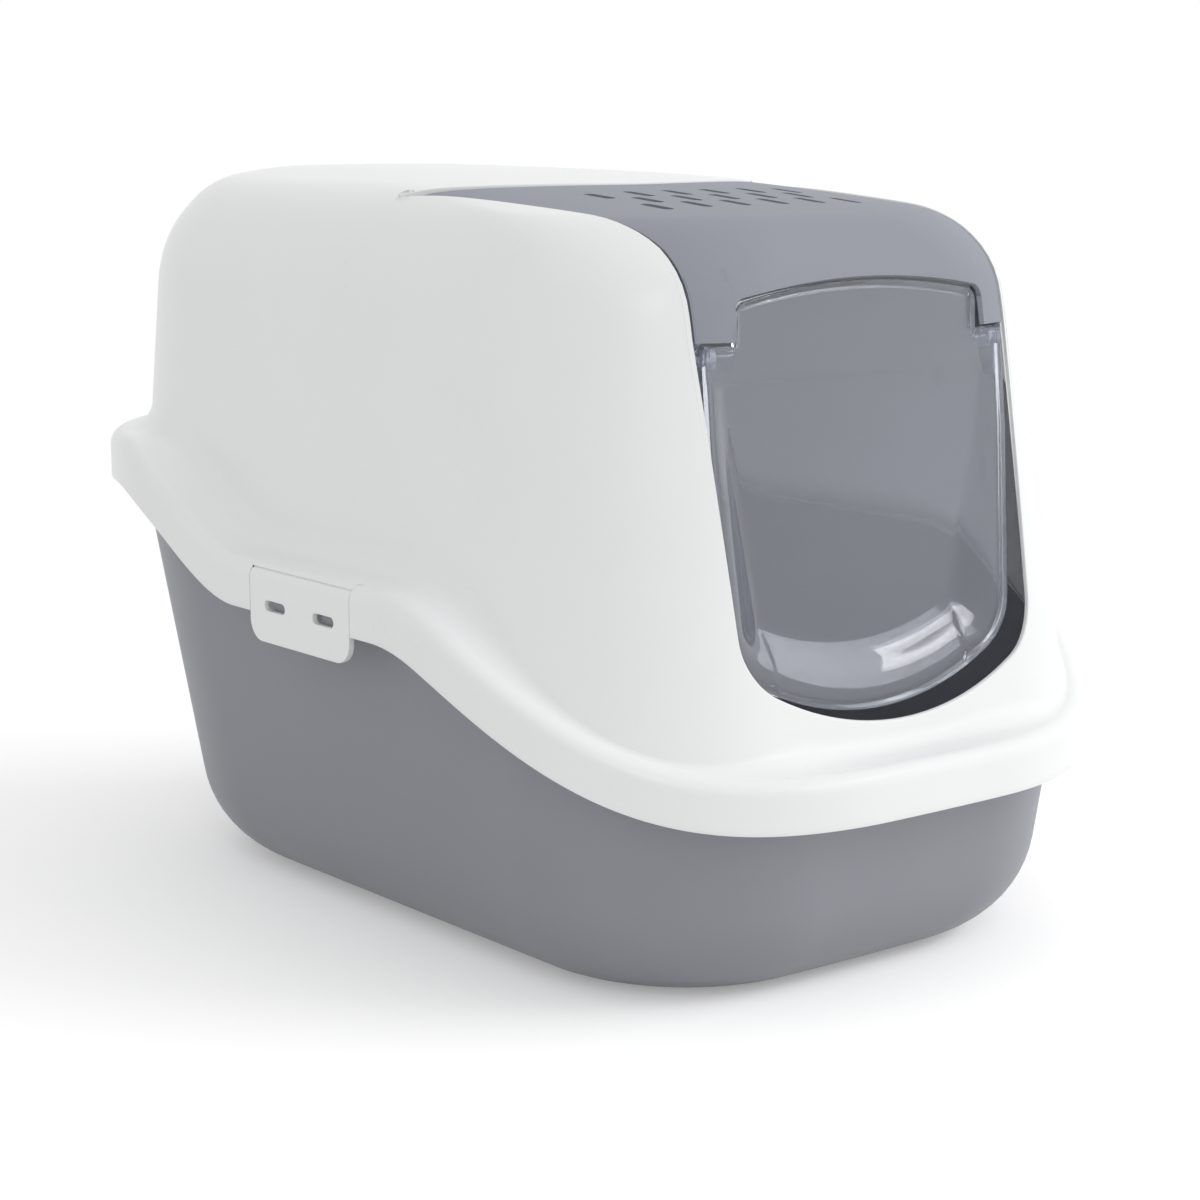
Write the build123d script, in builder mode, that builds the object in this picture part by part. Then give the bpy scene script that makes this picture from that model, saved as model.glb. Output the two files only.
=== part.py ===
from build123d import *
import os
from math import atan2, cos, degrees, hypot, pi, radians, sin, sqrt, tan

# Hooded cat litter box. X is the width, Y the length with the entrance at -Y, Z is up.
# The origin is the middle of the box on the floor. All sizes are in millimetres.

# Rim that the hood and the tray share, seen from above
rim_length = 560.0
rim_width = 390.0
rim_front_bow = 1600.0
rim_rear_bow = 2000.0
rim_front_corner = 160.0
rim_rear_corner = 154.0

# Height of the rim's lower edge: low at the entrance, level at the clips, high at the back
rim_front_z = 92.0
rim_clip_z = 165.0
rim_rear_z = 214.0
rim_front_end_y = -275.0
clip_level_front_y = -84.0
clip_level_rear_y = 40.0
rim_rear_start_y = 175.0

# Hood
height = 385.0
hood_wall = 2.5
skirt_height = 26.0
skirt_round = 8.0
hood_half_width = 176.0
hood_half_width_z = 90.0
side_draft = 5.2
hood_front_y = -242.4
hood_front_z = 190.0
front_lean = 8.4
hood_rear_y = 269.0
hood_rear_z = 200.0
rear_draft = 3.3
side_top_radius = 65.0
front_top_radius = 46.0
rear_top_radius = 31.0
roof_bow = 2900.0
roof_crown = 860.0
roof_peak_y = 125.0
hood_bow = 1600.0
hood_front_corner = 97.0
hood_rear_foot_corner = 134.0
hood_rear_top_corner = 106.0
hood_foot_z = 70.0
roof_cap = 0.5

# Entrance and visor cut-out in the hood
opening_half_width = 102.5
opening_foot_half_width = 95.5
opening_bottom_z = 131.0
opening_bottom_sag = 30.0
opening_corner = 34.0
opening_lip = 2.5
opening_lip_depth = 15.0
visor_rear_y = -17.0
visor_rear_half_width = 116.4
visor_rear_bow = 38.0
visor_splay_y = -190.0
visor_rear_gap = 2.5
visor_corner_gap = 10.0

# Visor
visor_gap = 1.0
visor_drop = 1.0
visor_wall = 2.5
visor_front_z = 312.5
notch_half_width = 81.0
notch_height = 27.0
notch_side_height = 19.0
notch_corner = 7.0
ear_depth = 16.0
ear_wall = 2.5
ear_bottom_z = 284.0
ear_rear_y = -165.0
visor_barrel_radius = 4.0
visor_barrel_length = 4.0
visor_pin_radius = 1.5
visor_pin_cover = 1.0
visor_axis_ahead = 2.0
visor_boss_length = 2.5
visor_boss_radius = 4.5
pin_clearance = 0.06

# Air slots in the visor, in staggered columns
slot_length = 22.0
slot_width = 6.0
slot_column_pitch = 12.5
slot_row_pitch = 44.0
slot_columns = 11
slot_field_y = -117.0

# Swing door
door_axis_y = -208.5
door_axis_z = 305.0
door_lean = 5.5
door_sheet = 2.0
door_side_gap = 3.0
door_ear_gap = 0.5
door_bottom_gap = 2.0
door_notch_gap = 2.2
door_shoulder_gap = 2.5
door_ahead = 5.5
door_crest_depth = 5.5
dish_border = 4.0
dish_depth = 12.0
dish_top_depth = 1.5
dish_side_inset = 30.0
dish_top_inset = 6.0
dish_bottom_inset = 28.0
dish_corner = 24.0
dish_top_below_axis = 8.0
door_pin_radius = 2.5
door_pin_length = 2.8
door_lug_length = 8.0

# Side clips
clip_width = 90.0
clip_y = -22.0
clip_wall = 3.0
clip_drop = 14.0
clip_gap = 0.6
clip_corner = 11.0
clip_slot_length = 19.0
clip_slot_height = 5.5
clip_slot_pitch = 44.0
clip_slot_above_bottom = 19.0
clip_barrel_radius = 4.0
clip_pin_radius = 2.0
clip_pin_length = 4.0
clip_lug_wall = 5.5
clip_lug_reach = 9.0
nose_length = 16.0
nose_height = 7.0
nose_gap = 0.4

# Tray
tray_wall = 3.0
tray_half_width = 149.5
tray_front_y = -248.0
tray_rear_y = 232.0
tray_side_draft = 8.1
tray_front_draft = 4.6
tray_rear_draft = 6.3
tray_corner = 105.0
tray_rear_corner = 135.0
tray_floor_round = 53.0
tray_lip = 3.0
rim_gap = 0.4
skirt_gap = 0.8

# Filter cassette under the air slots
filter_width = 150.0
filter_length = 106.0
filter_thickness = 7.0
filter_corner = 6.0
filter_gap = 0.4
cassette_wall = 2.5
cassette_floor = 2.0
cassette_bar = 3.0
cassette_long_bars = 6
cassette_cross_bars = 3
cassette_rear_y = -68.0
cassette_below_visor = 3.0
cassette_axis_behind = 8.0
cassette_tab_width = 8.0
cassette_tab_x = 56.0
cassette_pin_radius = 2.0
cassette_lug_wall = 3.0
cassette_lug_radius = 5.0
cassette_lug_gap = 0.4

far = 400.0
half_rim = rim_width / 2
visor_half_width = opening_half_width - visor_gap
os.makedirs("parts", exist_ok=True)


def plan_section(z, half_width, front, rear, front_bow, rear_bow, front_corner, rear_corner):
    """Level outline: straight sides, bowed front and rear, four round corners."""
    front_side = front + front_bow - sqrt(front_bow**2 - half_width**2)
    rear_side = rear - rear_bow + sqrt(rear_bow**2 - half_width**2)
    with BuildSketch(Plane.XY.offset(z)) as section:
        with BuildLine():
            ThreePointArc((-half_width, front_side), (0, front), (half_width, front_side))
            Line((half_width, front_side), (half_width, rear_side))
            ThreePointArc((half_width, rear_side), (0, rear), (-half_width, rear_side))
            Line((-half_width, rear_side), (-half_width, front_side))
        make_face()
        fillet(section.vertices().group_by(Axis.Y)[0], front_corner)
        fillet(section.vertices().group_by(Axis.Y)[-1], rear_corner)
    return section.sketch


def rim_slab(inset, low, high, edge_round=0):
    """Slab of the rim's outline moved in by inset, between its lower edge raised by low and by high."""
    half_length = rim_length / 2 - inset
    outline = plan_section(
        0, half_rim - inset, -half_length, half_length, rim_front_bow - inset, rim_rear_bow - inset,
        rim_front_corner - inset, rim_rear_corner - inset,
    )
    with BuildPart() as slab:
        add(outline)
        extrude(amount=far)
        add(rim_band(low, high), mode=Mode.INTERSECT)
        if edge_round > 0:
            tops = slab.faces().filter_by(lambda face: face.normal_at().Z > 0.3).edges()
            walls = slab.faces().filter_by(lambda face: abs(face.normal_at().Z) < 0.01).edges()
            fillet([edge for edge in tops if edge in walls], edge_round)
    return slab.part


def rim_curve(rise):
    """Edges of the rim's lower edge raised by rise, drawn in the YZ plane from front to rear."""
    front = rim_front_z + rise
    level = rim_clip_z + rise
    rear = rim_rear_z + rise
    front_third = (clip_level_front_y - rim_front_end_y) / 3
    rear_third = (rim_rear_start_y - clip_level_rear_y) / 3
    Line((-far, front), (rim_front_end_y, front))
    Bezier(
        (rim_front_end_y, front), (rim_front_end_y + front_third, front),
        (clip_level_front_y - front_third, level), (clip_level_front_y, level),
    )
    Line((clip_level_front_y, level), (clip_level_rear_y, level))
    Bezier(
        (clip_level_rear_y, level), (clip_level_rear_y + rear_third, level),
        (rim_rear_start_y - rear_third, rear), (rim_rear_start_y, rear),
    )
    Line((rim_rear_start_y, rear), (far, rear))


def rim_band(low, high):
    """Solid across the whole width between the rim's lower edge raised by low and by high."""
    with BuildPart() as band:
        with BuildSketch(Plane.YZ):
            with BuildLine():
                rim_curve(low)
                Line((far, rim_rear_z + low), (far, rim_rear_z + high))
                Line((-far, rim_front_z + low), (-far, rim_front_z + high))
                rim_curve(high)
            make_face()
        extrude(amount=far, both=True)
    return band.part


def shoulder(wall_u, wall_z, draft, radius, bow, inset):
    """Outward distance at a height for a leaning wall, a round shoulder and a bowed roof.

    The wall leans in by draft degrees from wall_u at wall_z. The roof is an arc of radius bow
    that peaks at the full height over u = 0. The shoulder is an arc that touches both.
    """
    slope = tan(radians(draft))
    stretch = hypot(1, slope)
    roof_centre = height - bow
    reach = wall_u + wall_z * slope - radius * stretch
    a = slope**2 + 1
    b = -2 * (reach * slope + roof_centre)
    c = reach**2 + roof_centre**2 - (bow - radius) ** 2
    centre_z = (-b + sqrt(b**2 - 4 * a * c)) / (2 * a)
    centre_u = reach - slope * centre_z
    wall_end = centre_z + (radius - inset) * slope / stretch
    roof_start = centre_z + (radius - inset) * (centre_z - roof_centre) / (bow - radius)

    def outward(z):
        if z <= wall_end:
            return wall_u - (z - wall_z) * slope - inset * stretch
        if z <= roof_start:
            return centre_u + sqrt((radius - inset) ** 2 - (z - centre_z) ** 2)
        return sqrt(max((bow - inset) ** 2 - (z - roof_centre) ** 2, 0))

    return outward


def hood_reach(z, inset):
    """Half width, front, rear, front corner and rear corner of the hood's outline at a height."""
    half_width = shoulder(
        hood_half_width, hood_half_width_z, side_draft, side_top_radius, roof_crown, inset)(z)
    front = roof_peak_y - shoulder(
        roof_peak_y - hood_front_y, hood_front_z, front_lean, front_top_radius, roof_bow, inset)(z)
    rear = roof_peak_y + shoulder(
        hood_rear_y - roof_peak_y, hood_rear_z, rear_draft, rear_top_radius, roof_bow, inset)(z)
    climb = (z - rim_front_z) / (height - rim_front_z)
    rear_corner = hood_rear_foot_corner + (hood_rear_top_corner - hood_rear_foot_corner) * climb
    largest = 0.8 * half_width
    return half_width, front, rear, min(hood_front_corner - inset, largest), min(rear_corner - inset, largest)


def hood_section(z, inset):
    """The hood's outline at a height, moved inwards by inset."""
    half_width, front, rear, front_corner, rear_corner = hood_reach(z, inset)
    bow = hood_bow - inset
    return plan_section(z, half_width, front, rear, bow, bow, front_corner, rear_corner)


def hood_form(inset):
    """Solid of the hood's outside moved inwards by inset, from below the rim to the roof."""
    bend_z = height - max(side_top_radius, front_top_radius) - hood_wall
    rise = height - inset - roof_cap - bend_z
    steps = 11
    levels = [bend_z + rise * sin(pi / 2 * step / steps) for step in range(steps + 1)]
    with BuildPart() as form:
        loft([hood_section(z, inset) for z in [hood_foot_z] + levels], ruled=True)
    return form.part


def hood_top(x, y):
    """Height of the hood's roof over a point, by halving the span between two levels."""
    low = height - side_top_radius
    high = height - roof_cap
    for _ in range(40):
        z = (low + high) / 2
        half_width, front, rear, corner, _ = hood_reach(z, 0)
        past_x = max(abs(x) - half_width + corner, 0)
        past_y = max(front + corner - y, 0)
        if hypot(past_x, past_y) < corner:
            low = z
        else:
            high = z
    return low


def hood_front(z, inset):
    """Y of the hood's front on the middle line at a height."""
    return hood_reach(z, inset)[1]


def opening_half(z):
    """Half width of the entrance at a height: its sides slant from the foot out to the visor's edge."""
    foot_side = opening_bottom_z + opening_bottom_sag
    slant = (opening_half_width - opening_foot_half_width) / (visor_front_z - foot_side)
    return opening_foot_half_width + slant * (z - foot_side)


def entrance_outline(shrink, foot, top):
    """Outline of the entrance made smaller by shrink, drawn flat as width and height."""
    foot_side = foot + opening_bottom_sag
    low_half = opening_half(foot_side) - shrink
    top_half = opening_half(top) - shrink
    with BuildSketch() as slot:
        with BuildLine():
            ThreePointArc((-low_half, foot_side), (0, foot), (low_half, foot_side))
            Polyline((low_half, foot_side), (top_half, top), (-top_half, top), (-low_half, foot_side))
        make_face()
        fillet(slot.vertices().sort_by(Axis.Y)[:2], opening_corner - shrink)
    return slot.sketch


def visor_plan(grow, rear, bow):
    """Outline of the visor from above made larger by grow: splayed sides and a rear edge that bows in."""
    front_half = visor_half_width + grow
    rear_half = visor_rear_half_width + grow
    with BuildSketch() as plan:
        with BuildLine():
            ThreePointArc((-rear_half, rear), (0, rear - bow), (rear_half, rear))
            Polyline((rear_half, rear), (front_half, visor_splay_y), (front_half, -far), (-front_half, -far),
                     (-front_half, visor_splay_y), (-rear_half, rear))
        make_face()
    return plan.sketch


def cut_out(grow):
    """Solid through the entrance and the visor's place in the roof, made larger by grow.

    The gap behind the visor widens towards its rear corners, which swing back as it opens.
    """
    rear = visor_rear_y + visor_corner_gap + grow
    bow = visor_rear_bow + visor_corner_gap - visor_rear_gap
    with BuildPart() as cut:
        with BuildSketch(Plane.XZ.offset(far / 2)):
            add(entrance_outline(-grow, opening_bottom_z - grow, visor_front_z))
        extrude(amount=far / 2)
        with BuildSketch(Plane.XY.offset(visor_front_z)):
            add(visor_plan(visor_gap + grow, rear, bow))
        extrude(amount=far)
    return cut.part


def crest_outline(half_width, low, side_high, high, corner):
    """Arched outline above the door's shoulders, drawn flat as width and height."""
    with BuildSketch() as crest:
        with BuildLine():
            ThreePointArc((-half_width, side_high), (0, high), (half_width, side_high))
            Polyline((half_width, side_high), (half_width, low), (-half_width, low), (-half_width, side_high))
        make_face()
        fillet(crest.vertices().group_by(Axis.Y)[-1], corner)
    return crest.sketch


def cross_pin(radius, x_from, x_to, y, z):
    """Round pin along X between two places."""
    with BuildPart() as pin:
        with BuildSketch(Plane.YZ.offset(min(x_from, x_to))):
            with Locations((y, z)):
                Circle(radius)
        extrude(amount=abs(x_to - x_from))
    return pin.part


def long_pin(radius, y_from, y_to, x, z):
    """Round pin along Y between two places."""
    with BuildPart() as pin:
        with BuildSketch(Plane.XZ.offset(-y_to)):
            with Locations((x, z)):
                Circle(radius)
        extrude(amount=y_to - y_from)
    return pin.part


def block(x_from, x_to, y_from, y_to, z_from, z_to):
    """Box between three pairs of places."""
    with BuildPart() as box:
        with Locations(((x_from + x_to) / 2, (y_from + y_to) / 2, (z_from + z_to) / 2)):
            Box(abs(x_to - x_from), y_to - y_from, z_to - z_from)
    return box.part


# Places that follow from the sizes
hinge_side = visor_rear_half_width + visor_gap
boss_side = hinge_side + visor_boss_length
visor_axis_y = visor_rear_y - visor_axis_ahead
visor_axis_z = hood_top(boss_side, visor_axis_y) - visor_pin_cover - visor_pin_radius - pin_clearance
clip_axis_z = rim_clip_z + skirt_height - hood_wall - clip_gap - clip_barrel_radius
clip_axis_x = half_rim - clip_barrel_radius
clip_bottom_z = rim_clip_z - clip_drop
clip_slot_z = clip_bottom_z + clip_slot_above_bottom
clip_front_y = clip_y - clip_width / 2
clip_rear_y = clip_y + clip_width / 2
door_top_z = visor_front_z - door_shoulder_gap
sides = (-1, 1)

hood_outside = hood_form(0)
hood_inside = hood_form(hood_wall)

# Hood: one shell with a rim skirt, a plain entrance and a lip that turns in around the visor
flange_z = skirt_height - hood_wall
with BuildPart() as skirt:
    add(rim_slab(0, 0, skirt_height, skirt_round))
    add(rim_slab(hood_wall, -skirt_height, flange_z, skirt_round - hood_wall), mode=Mode.SUBTRACT)
    add(hood_inside, mode=Mode.SUBTRACT)

with BuildPart() as lip:
    add(cut_out(opening_lip))
    for side in sides:
        add(cross_pin(visor_boss_radius, side * visor_half_width, side * boss_side,
                      visor_axis_y, visor_axis_z))
    add(hood_outside, mode=Mode.INTERSECT)
    add(hood_form(opening_lip_depth), mode=Mode.SUBTRACT)
    add(block(-far, far, -far, far, ear_bottom_z, far), mode=Mode.INTERSECT)

with BuildPart() as hood:
    add(hood_outside)
    add(hood_inside, mode=Mode.SUBTRACT)
    add(rim_band(flange_z, far), mode=Mode.INTERSECT)
    add(skirt.part)
    add(lip.part)
    add(cut_out(0), mode=Mode.SUBTRACT)
    hole_radius = visor_pin_radius + pin_clearance
    add(cross_pin(hole_radius, -boss_side, boss_side, visor_axis_y, visor_axis_z), mode=Mode.SUBTRACT)
    notch_z = rim_clip_z + flange_z
    for side in sides:
        notch_in = side * (half_rim - clip_lug_reach)
        notch_out = side * (half_rim + clip_gap)
        add(block(notch_in, notch_out, clip_front_y - clip_gap, clip_rear_y + clip_gap, 0, notch_z),
            mode=Mode.SUBTRACT)
        lug_out = side * (half_rim - hood_wall / 2)
        lug_low = clip_axis_z - clip_barrel_radius
        for lug_y in (clip_front_y - clip_gap - clip_lug_wall, clip_rear_y + clip_gap):
            add(block(notch_in, lug_out, lug_y, lug_y + clip_lug_wall, lug_low, notch_z + hood_wall / 2))
        reach = clip_width / 2 + clip_gap + 2 * clip_lug_wall
        add(long_pin(clip_pin_radius + pin_clearance, clip_y - reach, clip_y + reach,
                     side * clip_axis_x, clip_axis_z), mode=Mode.SUBTRACT)
hood.part.label = "hood"
export_step(hood.part, "parts/hood.step")


def tray_form(inset):
    """Solid of the tray's outside moved inwards by inset, with a round foot."""
    top = rim_rear_z + skirt_height
    sections = []
    for z in (inset, top):
        half_width = tray_half_width + z * tan(radians(tray_side_draft)) - inset
        front = tray_front_y - z * tan(radians(tray_front_draft)) + inset
        rear = tray_rear_y + z * tan(radians(tray_rear_draft)) - inset
        sections.append(plan_section(
            z, half_width, front, rear, rim_front_bow, rim_rear_bow,
            tray_corner - inset, tray_rear_corner - inset,
        ))
    with BuildPart() as form:
        loft(sections, ruled=True)
        fillet(form.edges().group_by(Axis.Z)[0], tray_floor_round - inset)
    return form.part


# Tray: open pan with a turned-out lip that carries the hood, and two noses behind each clip
lip_top = flange_z - rim_gap
clip_room = clip_width / 2 + 2 * clip_gap + clip_lug_wall + skirt_gap
nose_root = tray_half_width + clip_slot_z * tan(radians(tray_side_draft)) - tray_wall / 2
with BuildPart() as tray:
    add(tray_form(0))
    add(rim_band(-far, lip_top), mode=Mode.INTERSECT)
    add(rim_slab(skirt_round + rim_gap, lip_top - tray_lip, lip_top))
    add(tray_form(tray_wall), mode=Mode.SUBTRACT)
    for side in sides:
        add(block(side * (half_rim - clip_lug_reach - 2 * skirt_gap), side * half_rim,
                  clip_y - clip_room, clip_y + clip_room, rim_clip_z - clip_drop, rim_clip_z + skirt_height),
            mode=Mode.SUBTRACT)
        for shift in (-clip_slot_pitch / 2, clip_slot_pitch / 2):
            nose_y = clip_y + shift
            add(block(side * nose_root, side * (half_rim - clip_wall - nose_gap),
                      nose_y - nose_length / 2, nose_y + nose_length / 2,
                      clip_slot_z - nose_height / 2, clip_slot_z + nose_height / 2))
tray.part.label = "tray"
export_step(tray.part, "parts/tray.step")

# Filter cassette: where it hangs under the visor
cassette_half = filter_width / 2 + filter_gap + cassette_wall
cassette_length = filter_length + 2 * (filter_gap + cassette_wall)
cassette_height = cassette_floor + filter_thickness + filter_gap
cassette_drop = visor_drop + visor_wall + cassette_below_visor
cassette_rear_z = hood_top(cassette_half, cassette_rear_y) - cassette_drop
cassette_front_z = hood_top(cassette_half, cassette_rear_y - cassette_length) - cassette_drop
cassette_tilt = atan2(cassette_rear_z - cassette_front_z, cassette_length)
cassette_plane = Plane(
    (0, cassette_rear_y, cassette_rear_z), x_dir=(1, 0, 0),
    z_dir=(0, -sin(cassette_tilt), cos(cassette_tilt)))
cassette_axis = cassette_plane.from_local_coords((0, cassette_axis_behind, -cassette_height / 2))
cassette_tab_side = cassette_tab_x + cassette_tab_width / 2
cassette_lug_in = cassette_tab_side + cassette_lug_gap
cassette_lug_out = cassette_lug_in + cassette_lug_wall

# Visor: roof and front panel with air slots, ears that carry the door and lugs for the cassette
visor_outside = hood_form(visor_drop)
visor_inside = hood_form(visor_drop + visor_wall)
ear_side = opening_half(ear_bottom_z) - visor_gap
with BuildPart() as ears:
    for side in sides:
        add(block(side * (ear_side - ear_wall), side * ear_side, -far, ear_rear_y, ear_bottom_z, far))
    add(visor_outside, mode=Mode.INTERSECT)
    add(hood_form(visor_drop + ear_depth), mode=Mode.SUBTRACT)

with BuildPart() as lugs:
    for side in sides:
        add(cross_pin(cassette_lug_radius, side * cassette_lug_in, side * cassette_lug_out,
                      cassette_axis.Y, cassette_axis.Z))
        add(block(side * cassette_lug_in, side * cassette_lug_out, cassette_axis.Y - cassette_lug_radius,
                  cassette_axis.Y + cassette_lug_radius, cassette_axis.Z, far))
    add(visor_outside, mode=Mode.INTERSECT)

with BuildPart() as visor:
    add(visor_outside)
    add(visor_inside, mode=Mode.SUBTRACT)
    with BuildSketch(Plane.XY.offset(visor_front_z)):
        add(visor_plan(0, visor_rear_y, visor_rear_bow))
    extrude(amount=far, mode=Mode.INTERSECT)
    with BuildSketch(Plane.XZ):
        add(crest_outline(notch_half_width, visor_front_z - notch_height, visor_front_z + notch_side_height,
                          visor_front_z + notch_height, notch_corner))
    extrude(amount=far, mode=Mode.SUBTRACT)
    add(ears.part)
    add(lugs.part)
    with BuildSketch(Plane.XY.offset(height)):
        for column in range(slot_columns):
            x = (column - (slot_columns - 1) / 2) * slot_column_pitch
            rows = 1 + (column + 1) % 2
            with Locations((x, slot_field_y)):
                with GridLocations(slot_column_pitch, slot_row_pitch, 1, rows):
                    SlotOverall(slot_length, slot_width, rotation=90)
    extrude(amount=-slot_length, mode=Mode.SUBTRACT)
    for side in sides:
        barrel_out = side * (visor_rear_half_width - 2 * visor_gap)
        barrel_in = barrel_out - side * visor_barrel_length
        pin_end = side * (boss_side - visor_gap / 2)
        add(cross_pin(visor_barrel_radius, barrel_in, barrel_out, visor_axis_y, visor_axis_z))
        add(cross_pin(visor_pin_radius, barrel_in, pin_end, visor_axis_y, visor_axis_z))
        ear_in = side * (ear_side - 2 * ear_wall)
        ear_out = side * (ear_side + ear_wall)
        add(cross_pin(door_pin_radius + pin_clearance, ear_in, ear_out, door_axis_y, door_axis_z),
            mode=Mode.SUBTRACT)
        add(cross_pin(cassette_pin_radius + pin_clearance, side * (cassette_lug_in - cassette_lug_wall),
                      side * (cassette_lug_out + cassette_lug_wall), cassette_axis.Y, cassette_axis.Z),
            mode=Mode.SUBTRACT)
visor.part.label = "visor"
export_step(visor.part, "parts/visor.step")

# Swing door: a bent sheet with a bordered dish, hung on two stub pins
lean = radians(door_lean)
door_foot_z = opening_bottom_z + door_bottom_gap
door_crest_z = visor_front_z + notch_height - door_notch_gap
door_knee = Vector(0, door_axis_y - door_ahead, door_axis_z)
door_up = Vector(0, sin(lean), cos(lean))
door_plane = Plane(door_knee, x_dir=(1, 0, 0), z_dir=(0, -cos(lean), sin(lean)))
door_length = (door_axis_z - door_foot_z) / cos(lean)
crest_top = (hood_front(door_crest_z, door_crest_depth), door_crest_z + door_sheet)
foot_end = door_knee - door_up * (door_length + door_sheet)


def dish_outline(plane, top_half, foot_half, top, foot, corner):
    """Tapered outline with a bowed foot and two round lower corners on a plane."""
    foot_side = foot + opening_bottom_sag
    with BuildSketch(plane) as outline:
        with BuildLine():
            ThreePointArc((-foot_half, foot_side), (0, foot), (foot_half, foot_side))
            Polyline((foot_half, foot_side), (top_half, top), (-top_half, top), (-foot_half, foot_side))
        make_face()
        fillet(outline.vertices().group_by(Axis.Y)[0], corner)
    return outline.sketch


door_half_width = ear_side - ear_wall - door_ear_gap
door_foot_half = opening_half(door_foot_z + opening_bottom_sag) - door_side_gap
with BuildPart() as door_outline:
    with BuildSketch(Plane.XZ) as leaf:
        add(entrance_outline(door_side_gap, door_foot_z, door_top_z))
        fillet(leaf.vertices().sort_by(Axis.Y)[-2:], door_notch_gap)
        add(crest_outline(notch_half_width - door_notch_gap, door_top_z - notch_corner,
                          visor_front_z + notch_side_height - door_notch_gap, door_crest_z, notch_corner))
    extrude(amount=far)

with BuildPart() as dish:
    dish_top = -dish_top_below_axis
    dish_half = door_half_width - 2 * dish_border
    dish_foot_half = door_foot_half - dish_border
    dish_fall = door_length - dish_border
    dish_angle = degrees(atan2(dish_depth - dish_top_depth, door_length))
    front_plane = door_plane.offset(door_sheet / 2)
    back_plane = front_plane.offset(-dish_top_depth - door_sheet).rotated((dish_angle, 0, 0))
    loft([
        dish_outline(front_plane, dish_half, dish_foot_half, dish_top, -dish_fall, dish_corner),
        dish_outline(back_plane, dish_half - dish_top_inset, dish_foot_half - dish_side_inset,
                     dish_top - dish_top_inset, -dish_fall + dish_bottom_inset, dish_corner),
    ], ruled=True)

with BuildPart() as swing_door:
    with BuildSketch(Plane.YZ):
        with BuildLine():
            Line((foot_end.Y, foot_end.Z), (door_knee.Y, door_knee.Z))
            TangentArc((door_knee.Y, door_knee.Z), crest_top, tangent=(door_up.Y, door_up.Z))
        trace(line_width=door_sheet)
    extrude(amount=door_half_width, both=True)
    add(door_outline.part, mode=Mode.INTERSECT)
    add(dish.part)
    add(dish.part.moved(Location(door_plane.z_dir * door_sheet)), mode=Mode.SUBTRACT)
    for side in sides:
        lug_in = side * (door_half_width - door_lug_length)
        add(cross_pin(door_ahead, lug_in, side * door_half_width, door_axis_y, door_axis_z))
        pin_end = side * (door_half_width + door_pin_length)
        add(cross_pin(door_pin_radius, lug_in, pin_end, door_axis_y, door_axis_z))
swing_door.part.label = "swing_door"
export_step(swing_door.part, "parts/swing_door.step")

# Filter cassette: an open frame with a barred floor, on two hinge tabs
with BuildPart() as filter_frame:
    with BuildSketch(cassette_plane.offset(-cassette_height)):
        with Locations((0, -cassette_length / 2)):
            RectangleRounded(2 * cassette_half, cassette_length, filter_corner)
    extrude(amount=cassette_height)
    with BuildSketch(cassette_plane):
        with Locations((0, -cassette_length / 2)):
            RectangleRounded(filter_width + 2 * filter_gap, filter_length + 2 * filter_gap,
                             filter_corner - cassette_wall)
    extrude(amount=-cassette_height + cassette_floor, mode=Mode.SUBTRACT)
    with BuildSketch(cassette_plane.offset(-cassette_height)):
        cell_x = filter_width / (cassette_long_bars + 1)
        cell_y = filter_length / (cassette_cross_bars + 1)
        with Locations((0, -cassette_length / 2)):
            with GridLocations(cell_x, cell_y, cassette_long_bars + 1, cassette_cross_bars + 1):
                Rectangle(cell_x - cassette_bar, cell_y - cassette_bar)
    extrude(amount=cassette_floor, mode=Mode.SUBTRACT)
    for side in sides:
        tab_in = side * (cassette_tab_x - cassette_tab_width / 2)
        tab_out = side * cassette_tab_side
        add(cross_pin(cassette_height / 2, tab_in, tab_out, cassette_axis.Y, cassette_axis.Z))
        with BuildSketch(cassette_plane.offset(-cassette_height)):
            with Locations((side * cassette_tab_x, cassette_axis_behind / 2 - cassette_wall / 4)):
                Rectangle(cassette_tab_width, cassette_axis_behind + cassette_wall / 2)
        extrude(amount=cassette_height)
        pin_end = side * (cassette_lug_out + cassette_lug_gap)
        add(cross_pin(cassette_pin_radius, tab_in, pin_end, cassette_axis.Y, cassette_axis.Z))
filter_frame.part.label = "filter_frame"
export_step(filter_frame.part, "parts/filter_frame.step")

# Carbon filter: a flat pad that lies in the cassette
with BuildPart() as carbon_filter:
    with BuildSketch(cassette_plane.offset(cassette_floor - cassette_height)):
        with Locations((0, -cassette_length / 2)):
            RectangleRounded(filter_width, filter_length, filter_corner - cassette_wall)
    extrude(amount=filter_thickness)
carbon_filter.part.label = "carbon_filter"
export_step(carbon_filter.part, "parts/carbon_filter.step")


def side_clip(side):
    """Clip on one side: a slotted plate under a hinge barrel with a stub pin at each end."""
    inner_x = side * half_rim - (clip_wall if side > 0 else 0)
    with BuildPart() as clip:
        with BuildSketch(Plane.YZ.offset(inner_x)) as plate:
            with Locations((clip_y, (clip_bottom_z + clip_axis_z) / 2)):
                Rectangle(clip_width, clip_axis_z - clip_bottom_z)
            fillet(plate.vertices().group_by(Axis.Y)[0], clip_corner)
            with Locations((clip_y, clip_slot_z)):
                with GridLocations(clip_slot_pitch, 1, 2, 1):
                    SlotOverall(clip_slot_length, clip_slot_height, mode=Mode.SUBTRACT)
        extrude(amount=clip_wall)
        add(long_pin(clip_barrel_radius, clip_front_y, clip_rear_y, side * clip_axis_x, clip_axis_z))
        add(long_pin(clip_pin_radius, clip_front_y - clip_pin_length, clip_rear_y + clip_pin_length,
                     side * clip_axis_x, clip_axis_z))
    return clip.part


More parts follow.
